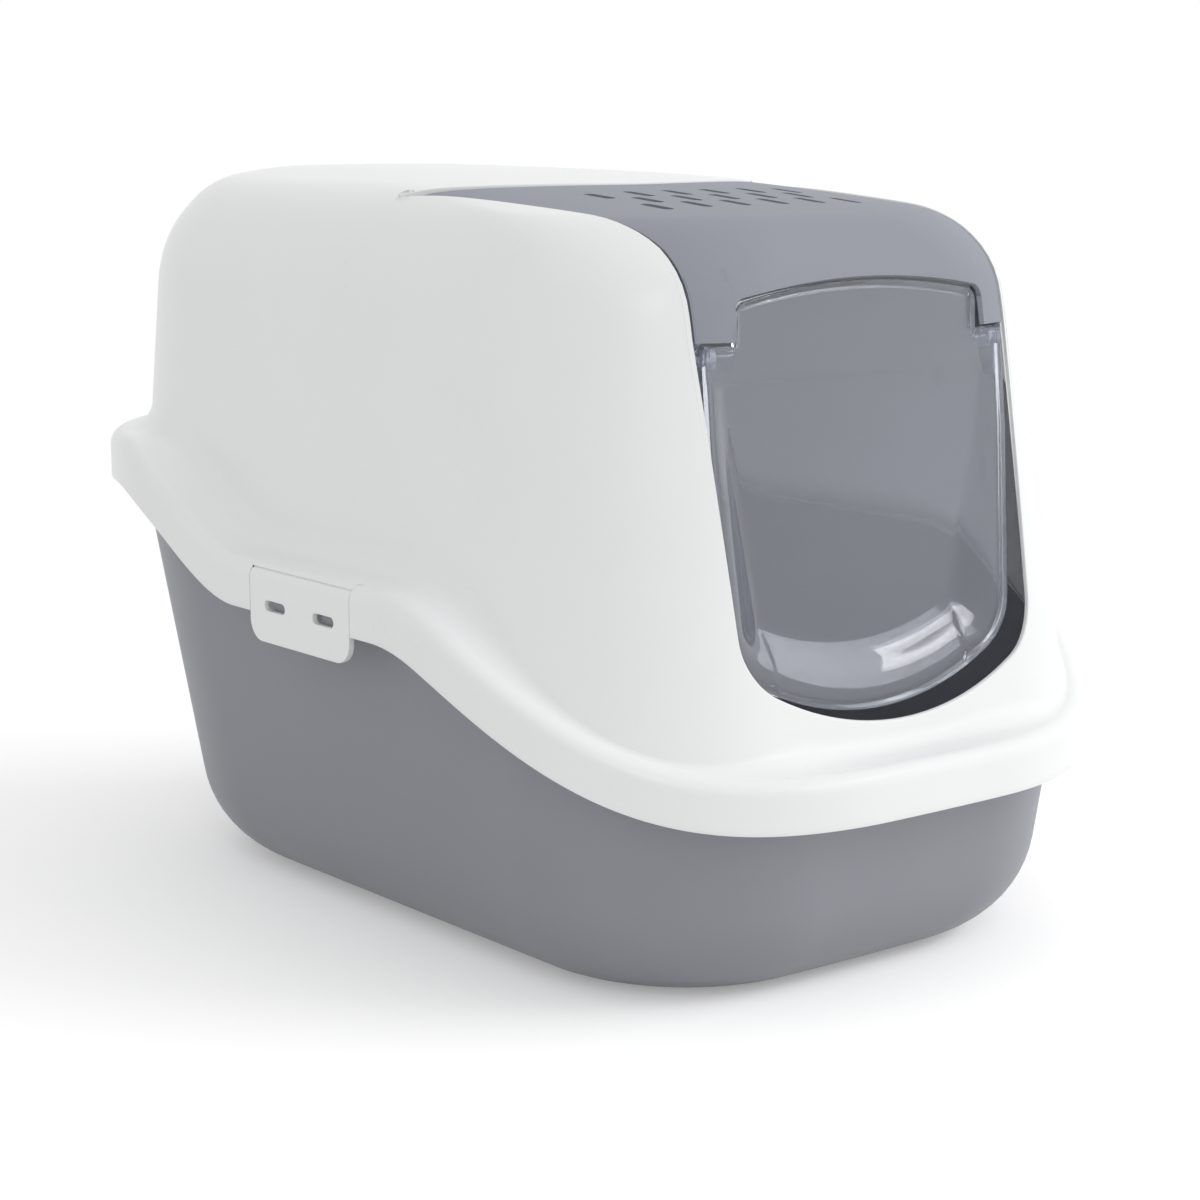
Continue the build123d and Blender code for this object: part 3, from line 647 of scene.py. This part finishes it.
    away = wall[-1] - edge
    away /= np.linalg.norm(away, axis=-1, keepdims=True)
    on_rear = reach >= side_end - 0.01
    slope_z = hood_roof(edge[:, 0], edge[:, 1] + 0.5) - hood_roof(edge[:, 0], edge[:, 1] - 0.5)
    fall = np.arctan(np.clip(slope_z, 0, 20))
    inward = stack(0.0, np.sin(fall), -np.cos(fall))
    inward[on_foot] = (0, 1, 0)
    inward[on_rear] = (0, 0, -1)
    corner_angle = np.linspace(0, np.pi / 2, 5)[:, None, None]
    out_share, in_share = 1 - np.sin(corner_angle), 1 - np.cos(corner_angle)
    rounding = edge + OPENING_EDGE_ROUND * (away * out_share + inward * in_share)
    lip_depth = HOOD_WALL + (LIP_DEPTH - HOOD_WALL) * smooth((edge[:, 2] - EAR_FOOT_Z) / LIP_STEP)
    lip = edge + along([0.5, 0.75, 1.0], 0.0, inward * lip_depth[:, None])
    return sheet(np.concatenate([skirt, flange, root, wall[1:], rounding, lip]), closed=True)


def tray_outline(turn, z, inset):
    """The tray's outline at height z, moved in by inset, with a round foot of radius r.

    Beside a wall that leans out by an angle a, the foot's arc has its centre at height r and
    r (tan a - 1 / cos a) from the wall's foot.
    """
    radius = TRAY_FLOOR_ROUND - inset
    rise = z - inset

    def reach(wall):
        size, lean = wall
        slope = np.tan(lean)
        chord = leg(radius, rise - radius)
        arc = radius * slope - radius / np.cos(lean) + chord
        out = np.where(rise < radius * (1 - np.sin(lean)), arc, rise * slope)
        return size + inset * slope - inset + out, out - rise * slope

    half_width, side_cut = reach(TRAY_SIDE)
    front, front_cut = reach(TRAY_FRONT)
    rear, rear_cut = reach(TRAY_REAR)
    corners = [
        TRAY_CORNERS[0] - inset + (side_cut + front_cut) / 2,
        TRAY_CORNERS[1] - inset + (side_cut + rear_cut) / 2]
    return outline(turn, half_width, -front, rear, RIM_BOWS, corners)


def tray_pan():
    """The tray as one closed ring of profiles: floor, outer wall, turned-out lip, inner wall, inner floor."""
    turn = np.linspace(0, 1, 401)[:-1]

    def wall_rows(inset, top):
        radius = TRAY_FLOOR_ROUND - inset
        foot = inset + radius * (1 - np.cos(np.linspace(0, TRAY_FOOT_TURN, 14)))
        edge_y = tray_outline(turn, rim_height(0 * turn) + top, inset)[1]
        top_z = rim_height(tray_outline(turn, rim_height(edge_y) + top, inset)[1]) + top
        wall = np.linspace(foot[-1], top_z, 24)[1:]
        z = np.concatenate([np.tile(foot[:, None], len(turn)), wall])
        x, y = tray_outline(turn, z, inset)[:2]
        rows = stack(x, y, z)
        middle = np.array([0.0, TRAY_MIDDLE_Y, inset])
        floor = along([0.002, 0.2, 0.4, 0.6, 0.8, 0.95], middle, rows[0])
        return np.concatenate([floor, rows])

    outer = wall_rows(0.0, TRAY_LIP_TOP - TRAY_LIP)
    inner = wall_rows(TRAY_WALL, TRAY_LIP_TOP)
    lip_x, lip_y, _, _ = rim_outline(turn, TRAY_LIP_INSET)
    beside_clip = np.abs(lip_y - CLIP_Y) < CLIP_HALF + CLIP_ROOM
    lip_x = np.where(beside_clip, np.clip(lip_x, -TRAY_CLIP_HALF, TRAY_CLIP_HALF), lip_x)
    lip_z = rim_height(lip_y) + TRAY_LIP_TOP
    lip = np.stack([
        stack(lip_x * draw, lip_y * draw, lip_z - share * TRAY_LIP)
        for draw, share in ((TRAY_LIP_ROUND, 1.0), (1.0, 0.8), (1.0, 0.2), (TRAY_LIP_ROUND, 0.0))])
    pan = sheet(np.concatenate([outer, lip, inner[::-1]]), closed=True)
    wall_x = TRAY_SIDE[0] + CLIP_SLOT_Z * np.tan(TRAY_SIDE[1]) - TRAY_WALL / 2
    low, high = (np.array([CLIP_Y, CLIP_SLOT_Z]) + sign * np.array(NOSE_HALF) for sign in (-1, 1))
    noses = [
        block(side, (wall_x, NOSE_REACH), low + (shift, 0), high + (shift, 0))
        for side in (-1, 1) for shift in (-CLIP_SLOT_SHIFT, CLIP_SLOT_SHIFT)]
    return join(pan, *noses)


def mirrored(values):
    """Sorted places with their mirror images, without near doubles."""
    both = np.sort(np.concatenate([-np.array(values), values]))
    keep = np.concatenate([[True], np.diff(both) > 0.015])
    return both[keep]


def visor_sheet():
    """The visor's outside: columns across X, rows from the rear edge over the roof and down the front.

    Columns beyond VISOR_KEEP are stretched out to the splayed side. The rows go from the bowed rear edge
    to the slots, are even in Y over them, then even in plan down the bend to a level run, then even in
    height to the lower edge, which is the notch's arch in the middle and two shoulders beside it.
    """
    slot_lines = SLOT_HALF_WIDTH * np.sin(np.linspace(-np.pi / 2, np.pi / 2, 9))
    pitch = SLOT_COLUMN_PITCH
    places = [np.array([0.0, NOTCH_HALF - 0.01, NOTCH_HALF + 0.01]), np.linspace(VISOR_KEEP, VISOR_HALF, 9)]
    places += [np.abs(column * pitch + slot_lines) for column in range(SLOT_SIDE_COLUMNS + 1)]
    places += [(np.arange(SLOT_SIDE_COLUMNS) + 0.5) * pitch]
    places += [NOTCH_HALF - NOTCH_CORNER + NOTCH_CORNER * np.sin(np.linspace(0, np.pi / 2, 9)[:-1])]
    column_x = mirrored(np.concatenate(places))

    def spread(y):
        beyond = np.maximum(np.abs(column_x) - VISOR_KEEP, 0) / (VISOR_HALF - VISOR_KEEP)
        return column_x + np.sign(column_x) * beyond * (visor_side(y, 0.0, VISOR_REAR_Y) - VISOR_HALF)

    rear_y = np.full(column_x.shape, VISOR_REAR_Y)
    for _ in range(12):
        rear_x = np.clip(spread(rear_y), -VISOR_REAR_HALF, VISOR_REAR_HALF)
        rear_y = visor_rear(rear_x, VISOR_REAR_HALF, VISOR_REAR_Y, VISOR_REAR_BOW)
    slots_start, slots_end = SLOT_RUN
    back_y = np.linspace(rear_y, slots_start, 22)[:-1]
    flat_y = np.arange(slots_start, slots_end - 1, -2.0)
    bend_end = hood_front(column_x, VISOR_BEND_Z + 0 * column_x, VISOR_DROP)
    bend_y = np.linspace(slots_end, bend_end, 30)[1:-1]
    y = np.concatenate([back_y, np.tile(flat_y[:, None], len(column_x)), bend_y])
    across = spread(y)

    centres = [
        (column * pitch, SLOT_FIELD_Y + row * SLOT_ROW_PITCH)
        for column in range(-SLOT_SIDE_COLUMNS, SLOT_SIDE_COLUMNS + 1)
        for row in ((-0.5, 0.5) if column % 2 else (0,))]
    y, holes = widen_slots(across, y, centres, SLOT_HALF_LENGTH, SLOT_HALF_WIDTH)
    top = stack(across, y, hood_roof(across, y, VISOR_DROP))

    arch = crest(column_x, NOTCH_HALF, VISOR_FRONT_Z + NOTCH_HEIGHT, NOTCH_HEIGHT - NOTCH_SIDE, NOTCH_CORNER)
    foot_z = np.where(np.abs(column_x) < NOTCH_HALF, arch, VISOR_FRONT_Z)
    front_z = np.linspace(VISOR_BEND_Z, foot_z, 12)
    front = stack(column_x, hood_front(column_x, front_z, VISOR_DROP), front_z)
    return sheet(np.concatenate([top, front])[:, ::-1], holes=holes[:, ::-1])


def visor_fittings():
    """Ears beside the door, hinge barrels and pins of the visor, and the lugs of the filter frame.

    An ear follows the hood's front, steps back below the visor's edge and has a round foot.
    """
    parts = []
    cassette_y, cassette_z = cassette_place(CASSETTE_HINGE, -CASSETTE_HEIGHT / 2)
    lug_top = float(hood_roof(np.array(LUG_X), np.array(cassette_y), VISOR_DROP + 1.0))
    z = np.linspace(EAR_FOOT_Z, VISOR_FRONT_Z + EAR_TOP_RISE, 24)[:, None]
    near = VISOR_DROP + EAR_RECESS * smooth((VISOR_FRONT_Z - z) / EAR_STEP)
    depth = near + np.linspace(0, 1, 9) * (VISOR_DROP + EAR_DEPTH - near)
    below = np.clip(EAR_FOOT_ROUND - (z - EAR_FOOT_Z), 0, EAR_FOOT_ROUND)
    round_foot = EAR_FOOT_ROUND - leg(EAR_FOOT_ROUND, below)
    y = hood_front(EAR_SIDE + 0 * z, z) + depth * (EAR_DEPTH - round_foot) / EAR_DEPTH
    for side in (-1, 1):
        parts += [
            slab(stack(side * EAR_SIDE, y, z), stack(side * (EAR_SIDE - EAR_WALL), y, z)),
            rod(side, VISOR_BARREL, VISOR_AXIS), rod(side, VISOR_PIN, VISOR_AXIS, PIN_CHAMFER),
            rod(side, LUG, (cassette_y, cassette_z)),
            block(side, LUG, (cassette_y - LUG[2], cassette_z), (cassette_y + LUG[2], lug_top))]
    return join(*parts)


def door_middle(z):
    """Y of the door's middle layer: a leaning plane to the hinge, then a parabola that bends to the visor."""
    crest_y = float(hood_front(np.array(0.0), np.array(DOOR_CREST_Z), DOOR_CREST_DEPTH))
    above = np.maximum(z - DOOR_AXIS[1], 0)
    top = DOOR_CREST_Z + DOOR_SHEET - DOOR_AXIS[1]
    knee_y = DOOR_AXIS[0] - DOOR_AHEAD
    curve = (crest_y - knee_y - np.tan(DOOR_LEAN) * top) / top ** 2
    return knee_y + np.tan(DOOR_LEAN) * (z - DOOR_AXIS[1]) + curve * above ** 2


def door_leaf():
    """The clear door: a leaning leaf with a beaded edge and a dish that deepens towards its foot.

    The dish's depth is a smooth step of the distance to the leaf's edge, over a slope whose width
    grows from the top to the foot. The bead is a bell curve of that distance. The hinge's barrels and
    pins come as a second mesh.
    """
    hair, far = 0.02, 1e3
    corner = OPENING_CORNER - DOOR_SIDE_GAP
    foot_half = opening_half(DOOR_FOOT + DOOR_CORNER_RISE) - DOOR_SIDE_GAP
    corner_x = foot_half - corner
    column_x = mirrored(np.concatenate([
        np.linspace(0, corner_x, 34), corner_x + corner * np.sin(np.linspace(0, np.pi / 2, 40)),
        DOOR_CREST_HALF - NOTCH_CORNER + NOTCH_CORNER * np.sin(np.linspace(0, np.pi / 2, 10)),
        [DOOR_CREST_HALF + hair]]))
    foot_z = DOOR_FOOT + bowl(column_x, foot_half, OPENING_SAG, corner)
    drop = np.clip(np.abs(column_x) - foot_half + DOOR_SHOULDER_ROUND, 0, DOOR_SHOULDER_ROUND)
    shoulder_z = DOOR_SHOULDER_Z - DOOR_SHOULDER_ROUND + leg(DOOR_SHOULDER_ROUND, drop)
    crest_z = crest(column_x, DOOR_CREST_HALF, DOOR_CREST_Z, NOTCH_HEIGHT - NOTCH_SIDE, NOTCH_CORNER)
    top_z = np.where(np.abs(column_x) <= DOOR_CREST_HALF + hair / 4, crest_z, shoulder_z)
    low = np.linspace(foot_z, DISH_TOP_Z, 110)
    high = np.linspace(DISH_TOP_Z, top_z, 24)[1:]
    z = np.concatenate([low, high])
    side_x = np.minimum(opening_half(z) - DOOR_SIDE_GAP, DOOR_HALF)
    beyond = np.maximum(np.abs(column_x) - DOOR_CREST_HALF - hair, 0) / (foot_half - DOOR_CREST_HALF - hair)
    widening = np.where(z > DOOR_FOOT + DOOR_CORNER_RISE, side_x - foot_half, 0.0)
    x = column_x + np.sign(column_x) * beyond * widening

    bow = (foot_half ** 2 + OPENING_SAG ** 2) / (2 * OPENING_SAG)
    corner_z = DOOR_FOOT + bow - leg(bow - corner, corner_x)
    from_side = np.maximum(side_x, foot_half) - np.abs(x)
    from_foot = np.where(z < corner_z + FOOT_EDGE_REACH, bow - np.hypot(x, z - DOOR_FOOT - bow), far)
    from_corner = corner - np.hypot(np.maximum(np.abs(x) - corner_x, 0), np.maximum(corner_z - z, 0))
    in_corner = (np.abs(x) > corner_x) & (z < corner_z)
    edge = np.minimum(from_side, np.where(in_corner, from_corner, from_foot))
    edge = np.maximum(edge, 0)
    down = np.clip((DISH_TOP_Z - z) / (DISH_TOP_Z - DISH_LOW_Z), 0, 1)
    slope_width = np.interp(down, (0, 1), DISH_INSETS)
    depth = np.interp(down, (0, 1), DISH_DEPTHS)
    dish = depth * smooth((edge - DISH_BORDER) / slope_width) * smooth((DISH_TOP_Z - z) / DISH_TOP_STEP)
    side_step = np.where(z > DOOR_SHOULDER_Z, np.abs(DOOR_CREST_HALF - np.abs(x)), far)
    rim = np.minimum(np.minimum(edge, top_z - z), side_step)
    bead = DOOR_BEAD * np.exp(-(rim / DOOR_BEAD_WIDTH) ** 2)
    half_sheet = (DOOR_SHEET / 2 + bead) / np.cos(DOOR_LEAN)
    middle = door_middle(z) + dish
    leaf = slab(stack(x, middle - half_sheet, z), stack(x, middle + half_sheet, z))
    fittings = []
    for side in (-1, 1):
        fittings += [rod(side, DOOR_BARREL, DOOR_AXIS), rod(side, DOOR_PIN, DOOR_AXIS, PIN_CHAMFER)]
    return leaf, join(*fittings)


def clip_sheet(side):
    """A clip's outside: columns along Y, rows from its rounded foot up and over the hinge barrel."""
    y_half = np.concatenate([
        [0.0, 5.0], CLIP_SLOT_SHIFT + np.linspace(-CLIP_SLOT_HALF[0], CLIP_SLOT_HALF[0], 13),
        CLIP_HALF - CLIP_CORNER + CLIP_CORNER * np.sin(np.linspace(0, np.pi / 2, 14))])
    y = mirrored(np.unique(y_half))
    past = np.clip(np.abs(y) - CLIP_HALF + CLIP_CORNER, 0, CLIP_CORNER)
    foot_z = CLIP_FOOT_Z + CLIP_CORNER - leg(CLIP_CORNER, past)
    slot_z = CLIP_SLOT_Z + CLIP_SLOT_HALF[1] * np.sin(np.linspace(-np.pi / 2, np.pi / 2, 9))
    below_slots, above_slots = CLIP_ROWS
    low = np.linspace(foot_z, below_slots[0], 7)[:-1]
    straight = np.concatenate([below_slots, slot_z, above_slots, [CLIP_AXIS[1]]])
    z = np.concatenate([low, np.tile(straight[:, None], len(y))])
    place = np.broadcast_to(y, z.shape)
    centres = [(CLIP_SLOT_Z, shift) for shift in (-CLIP_SLOT_SHIFT, CLIP_SLOT_SHIFT)]
    place, holes = widen_slots(z, place, centres, *CLIP_SLOT_HALF)
    face = stack(side * RIM_HALF_WIDTH, CLIP_Y + place, z)
    turn = np.linspace(0, np.pi, 15)[1:, None]
    barrel_x = side * (CLIP_AXIS[0] + CLIP_BARREL * np.cos(turn))
    barrel = stack(barrel_x, CLIP_Y + y, CLIP_AXIS[1] + CLIP_BARREL * np.sin(turn))
    grid = np.concatenate([face, barrel])
    return sheet(grid[:, ::side], holes=holes[:, ::side])


def cassette_place(behind, height):
    """Y and Z of a place behind the filter frame's rear edge and over its top, along the roof's chord."""
    ends = np.array([CASSETTE_REAR_Y, CASSETTE_REAR_Y - CASSETTE_LENGTH])
    rear_z, front_z = hood_roof(CASSETTE_HALF + 0 * ends, ends) - CASSETTE_DROP
    tilt = np.arctan2(rear_z - front_z, CASSETTE_LENGTH)
    y = CASSETTE_REAR_Y + behind * np.cos(tilt) - height * np.sin(tilt)
    return y, rear_z + behind * np.sin(tilt) + height * np.cos(tilt)


def filter_pad():
    """The filter: a thin pad, crowned by (1 - |u|^10) (1 - |v|^10) to the power 0.2 from its thinner edge.

    Its top has a ripple, the product of two sines.
    """
    u = np.sin(np.linspace(-np.pi / 2, np.pi / 2, 71))[:, None]
    v = np.sin(np.linspace(-np.pi / 2, np.pi / 2, 61))[None, :]
    crown = ((1 - np.abs(u) ** 10) * (1 - np.abs(v) ** 10)) ** 0.2
    half = FILTER_THICKNESS / 2 * (0.15 + 0.83 * crown)
    ripple = FILTER_RIPPLE * np.sin(19 * u + 3 * v) * np.sin(13 * v) * crown
    middle = CASSETTE_FLOOR - CASSETTE_HEIGHT + FILTER_THICKNESS / 2
    local_y = -CASSETTE_LENGTH / 2 + FILTER_HALF[1] * v

    def place(height):
        return stack(FILTER_HALF[0] * u, *cassette_place(local_y, height))

    return slab(place(middle + half - np.abs(ripple)), place(middle - half))


def colour(text):
    """Linear colour of an sRGB hex text."""
    values = np.array([int(text[i:i + 2], 16) for i in (1, 3, 5)]) / 255
    linear = np.where(values <= 0.04045, values / 12.92, ((values + 0.055) / 1.055) ** 2.4)
    return (*linear, 1.0)


def add_node(tree, kind, inputs=None, **settings):
    """Node of a kind with its settings. An input is a value, or the socket that feeds it."""
    node = tree.nodes.new(kind)
    for name, value in settings.items():
        setattr(node, name, value)
    for name, value in (inputs or {}).items():
        if isinstance(value, bpy.types.NodeSocket):
            tree.links.new(value, node.inputs[name])
        else:
            node.inputs[name].default_value = value
    return node


def new_material(name):
    """Empty material, its tree, and the place on the surface in metres."""
    material = bpy.data.materials.new(name)
    material.use_nodes = True
    tree = material.node_tree
    tree.nodes.clear()
    return material, tree, add_node(tree, "ShaderNodeTexCoord").outputs["Object"]


def pass_light(tree, surface, tint):
    """The surface, clear with a tint to the rays that look for a lamp."""
    shadow = add_node(tree, "ShaderNodeLightPath").outputs["Is Shadow Ray"]
    clear = add_node(tree, "ShaderNodeBsdfTransparent", {"Color": tint})
    return add_node(tree, "ShaderNodeMixShader", {0: shadow, 1: surface, 2: clear.outputs[0]}).outputs[0]


def moulded_plastic(name, light, dark, roughness, gloss=0.5, passing=0.0):
    """Injection-moulded polypropylene: an even colour with a faint cloudiness, and a fine spark-eroded grain.

    The cloudiness is 60 mm wide. Real grain is about 0.1 mm, and it is drawn at 1.6 mm so that it shows.
    White polypropylene is milky, so light passes the wall and brightens the inside: each face lets the
    share named passing of a shadow ray through. It stands in for light that is scattered many times.
    """
    material, tree, place = new_material(name)
    cloud = add_node(tree, "ShaderNodeTexNoise", {"Vector": place, "Scale": 1 / (60 * MM), "Detail": 3.0})
    tone = add_node(tree, "ShaderNodeMixRGB", {
        "Fac": cloud.outputs["Fac"], "Color1": colour(dark), "Color2": colour(light)})
    rub = add_node(tree, "ShaderNodeMapRange", {
        "Value": cloud.outputs["Fac"], "From Min": 0.3, "From Max": 0.7,
        "To Min": roughness - 0.03, "To Max": roughness + 0.04})
    speck = add_node(tree, "ShaderNodeTexNoise", {"Vector": place, "Scale": 1 / (1.6 * MM), "Detail": 2.0})
    bump = add_node(tree, "ShaderNodeBump", {
        "Height": speck.outputs["Fac"], "Strength": 0.05, "Distance": 0.3 * MM})
    shader = add_node(tree, "ShaderNodeBsdfPrincipled", {
        "Base Color": tone.outputs["Color"], "Roughness": rub.outputs["Result"], "IOR": 1.49,
        "Specular IOR Level": gloss, "Normal": bump.outputs["Normal"]})
    surface = shader.outputs["BSDF"]
    if passing:
        surface = pass_light(tree, surface, (passing, passing, passing, 1.0))
    add_node(tree, "ShaderNodeOutputMaterial", {"Surface": surface})
    return material


def clear_plastic(name):
    """Clear polystyrene, injection moulded: glossy and see-through with a blueish haze, and light passes it.

    Flow lines 35 mm apart vary the gloss a little. Shadow rays pass a tinted Transparent shader, because a
    path tracer finds no lamp through glass.
    """
    material, tree, place = new_material(name)
    wave = add_node(tree, "ShaderNodeTexNoise", {"Vector": place, "Scale": 1 / (35 * MM), "Detail": 1.0})
    haze = add_node(tree, "ShaderNodeMapRange", {
        "Value": wave.outputs["Fac"], "From Min": 0.3, "From Max": 0.7, "To Min": 0.02, "To Max": 0.05})
    shader = add_node(tree, "ShaderNodeBsdfPrincipled", {
        "Base Color": colour("#E9EDF6"), "Roughness": haze.outputs["Result"], "IOR": 1.5,
        "Transmission Weight": 0.92})
    surface = pass_light(tree, shader.outputs["BSDF"], colour("#F6F7FA"))
    add_node(tree, "ShaderNodeOutputMaterial", {"Surface": surface})
    return material


def carbon_fleece(name):
    """Needled fleece soaked with active carbon: matt black with a tangle of fibres about 1.5 mm apart."""
    material, tree, place = new_material(name)
    fibre = add_node(tree, "ShaderNodeTexNoise", {
        "Vector": place, "Scale": 1 / (1.5 * MM), "Detail": 4.0, "Distortion": 1.5})
    tone = add_node(tree, "ShaderNodeValToRGB", {"Fac": fibre.outputs["Fac"]})
    tone.color_ramp.elements[0].color = colour("#0E0E0F")
    tone.color_ramp.elements[1].color = colour("#333436")
    bump = add_node(tree, "ShaderNodeBump", {
        "Height": fibre.outputs["Fac"], "Strength": 0.8, "Distance": 0.8 * MM})
    shader = add_node(tree, "ShaderNodeBsdfPrincipled", {
        "Base Color": tone.outputs["Color"], "Roughness": 0.95, "Sheen Weight": 0.3,
        "Normal": bump.outputs["Normal"]})
    add_node(tree, "ShaderNodeOutputMaterial", {"Surface": shader.outputs["BSDF"]})
    return material


# Materials by slot
materials = {
    "white_plastic": moulded_plastic("white_polypropylene", "#EDEEEE", "#E9EAEA", 0.3, passing=0.9),
    "grey_plastic": moulded_plastic("grey_polypropylene", "#8B8D94", "#85878E", 0.45),
    "light_grey_plastic": moulded_plastic("light_grey_polypropylene", "#93969F", "#8D9099", 0.55, gloss=0.2),
    "clear_plastic": clear_plastic("clear_polystyrene"),
    "carbon_fleece": carbon_fleece("carbon_fleece"),
}

# Pieces
make_piece("hood_shell", hood_sheet(), "hood", "white_plastic", ["hood"], wall=HOOD_WALL)
make_piece("tray_pan", tray_pan(), "tray", "grey_plastic", ["tray"])
make_piece("visor_panel", visor_sheet(), "visor", "light_grey_plastic", ["visor"], wall=VISOR_WALL)
make_piece("visor_fittings", visor_fittings(), "visor", "light_grey_plastic", [])
leaf, fittings = door_leaf()
make_piece("door_leaf", leaf, "swing_door", "clear_plastic", ["swing_door"])
make_piece("door_fittings", fittings, "swing_door", "clear_plastic", [])
for side, body in ((-1, "left_clip"), (1, "right_clip")):
    make_piece(
        body + "_plate", clip_sheet(side), body, "white_plastic", [body], wall=CLIP_WALL, bevel=CLIP_BEVEL)
pad = make_piece("filter_pad", filter_pad(), "filter_cassette", "carbon_fleece", ["carbon_filter"])
cassette_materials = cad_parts["filter_frame"].data.materials
cassette_materials.clear()
cassette_materials.append(materials["light_grey_plastic"])


# Stage: lengths in metres, glow and light as a share of white
FLOOR_REACH = 1.2
FLOOR_FADE = (0.4, 0.9)
FLOOR_GLOW = 0.26
WORLD_LIGHT = 0.74


def shown_rays(tree):
    """1 for the rays that show the background: from the camera, through clear plastic and off gloss."""
    path = add_node(tree, "ShaderNodeLightPath").outputs
    shown = path["Is Camera Ray"]
    for ray in ("Is Transmission Ray", "Is Glossy Ray"):
        shown = add_node(tree, "ShaderNodeMath", {0: shown, 1: path[ray]}, operation="MAXIMUM").outputs[0]
    return shown


def floor_material(name):
    """Seamless white paper: matt, with a faint tooth of 2 mm, that fades into the white background.

    Where it shows, it gives back a little more than the lamps reach, so that only the shadow is grey.
    """
    material, tree, place = new_material(name)
    tooth = add_node(tree, "ShaderNodeTexNoise", {"Vector": place, "Scale": 1 / (2 * MM)})
    bump = add_node(tree, "ShaderNodeBump", {"Height": tooth.outputs["Fac"], "Strength": 0.02})
    paper = add_node(tree, "ShaderNodeBsdfDiffuse", {
        "Color": colour("#F4F4F4"), "Normal": bump.outputs["Normal"]})
    glow = add_node(tree, "ShaderNodeEmission", {"Color": colour("#FFFFFF"), "Strength": FLOOR_GLOW})
    dark = add_node(tree, "ShaderNodeEmission", {"Strength": 0.0})
    extra = add_node(tree, "ShaderNodeMixShader", {
        0: shown_rays(tree), 1: dark.outputs[0], 2: glow.outputs[0]})
    lit = add_node(tree, "ShaderNodeAddShader", {0: paper.outputs[0], 1: extra.outputs[0]})
    distance = add_node(tree, "ShaderNodeVectorMath", {0: place}, operation="LENGTH")
    fade = add_node(tree, "ShaderNodeMapRange", {
        "Value": distance.outputs["Value"], "From Min": FLOOR_FADE[0], "From Max": FLOOR_FADE[1]})
    clear = add_node(tree, "ShaderNodeBsdfTransparent")
    faded = add_node(tree, "ShaderNodeMixShader", {
        0: fade.outputs["Result"], 1: lit.outputs[0], 2: clear.outputs[0]})
    add_node(tree, "ShaderNodeOutputMaterial", {"Surface": faded.outputs[0]})
    return material


# Floor
floor_mesh = bpy.data.meshes.new("floor")
floor_corners = [(x * FLOOR_REACH, y * FLOOR_REACH, 0) for x, y in ((-1, -1), (1, -1), (1, 1), (-1, 1))]
floor_mesh.from_pydata(floor_corners, [], [(0, 1, 2, 3)])
floor_mesh.materials.append(floor_material("white_paper"))
floor = new_object("floor", floor_mesh)


def area_light(name, place, target, size, power, in_gloss=True):
    """Soft box: an area lamp of a width and a height that looks at a target, in metres and watts.

    One that isn't in the gloss lights the surfaces but doesn't mirror in them.
    """
    lamp = bpy.data.lights.new(name, "AREA")
    lamp.shape = "RECTANGLE"
    lamp.size, lamp.size_y = size
    lamp.energy = power
    lamp_object = new_object(name, lamp)
    lamp_object.location = place
    lamp_object.visible_glossy = in_gloss
    lamp_object.rotation_euler = (Vector(target) - Vector(place)).to_track_quat("-Z", "Y").to_euler()


# Light
area_light("key", place=(2.5, -2.0, 1.9), target=(0, 0, 0.15), size=(2.4, 1.6), power=50.0, in_gloss=False)
area_light("strip", place=(1.5, -2.6, 2.2), target=(0, 0, 0.15), size=(2.0, 0.3), power=9.0)
area_light("fill", place=(-1.6, -2.2, 1.7), target=(0, 0, 0.2), size=(0.6, 1.2), power=6.0)
world = bpy.data.worlds.new("studio")
scene.world = world
world.use_nodes = True
tree = world.node_tree
tree.nodes.clear()
dim = add_node(tree, "ShaderNodeBackground", {"Color": colour("#FFFFFF"), "Strength": WORLD_LIGHT})
white = add_node(tree, "ShaderNodeBackground", {"Color": colour("#FFFFFF"), "Strength": 1.0})
mixed = add_node(tree, "ShaderNodeMixShader", {0: shown_rays(tree), 1: dim.outputs[0], 2: white.outputs[0]})
add_node(tree, "ShaderNodeOutputWorld", {"Surface": mixed.outputs[0]})

# Camera at the photograph's viewing angle
CAMERA_DISTANCE = 1.4833
CAMERA_TARGET = Vector((0.0, 0.0, 0.19))
CAMERA_SHIFT = (0.0174, -0.0582)
SENSOR_WIDTH = 36.0
LENS_SHARE = 2723.5 / 1200.0
azimuth, elevation = np.radians((-38.396, 9.104))
back = Vector((np.sin(azimuth) * np.cos(elevation), -np.cos(azimuth) * np.cos(elevation), np.sin(elevation)))
camera_data = bpy.data.cameras.new("camera")
camera_data.sensor_width = SENSOR_WIDTH
camera_data.lens = SENSOR_WIDTH * LENS_SHARE
camera_data.shift_x, camera_data.shift_y = CAMERA_SHIFT
camera = new_object("camera", camera_data)
camera.location = CAMERA_TARGET + back * CAMERA_DISTANCE
camera.rotation_euler = (-back).to_track_quat("-Z", "Y").to_euler()
scene.camera = camera
scene.view_settings.view_transform = "Standard"
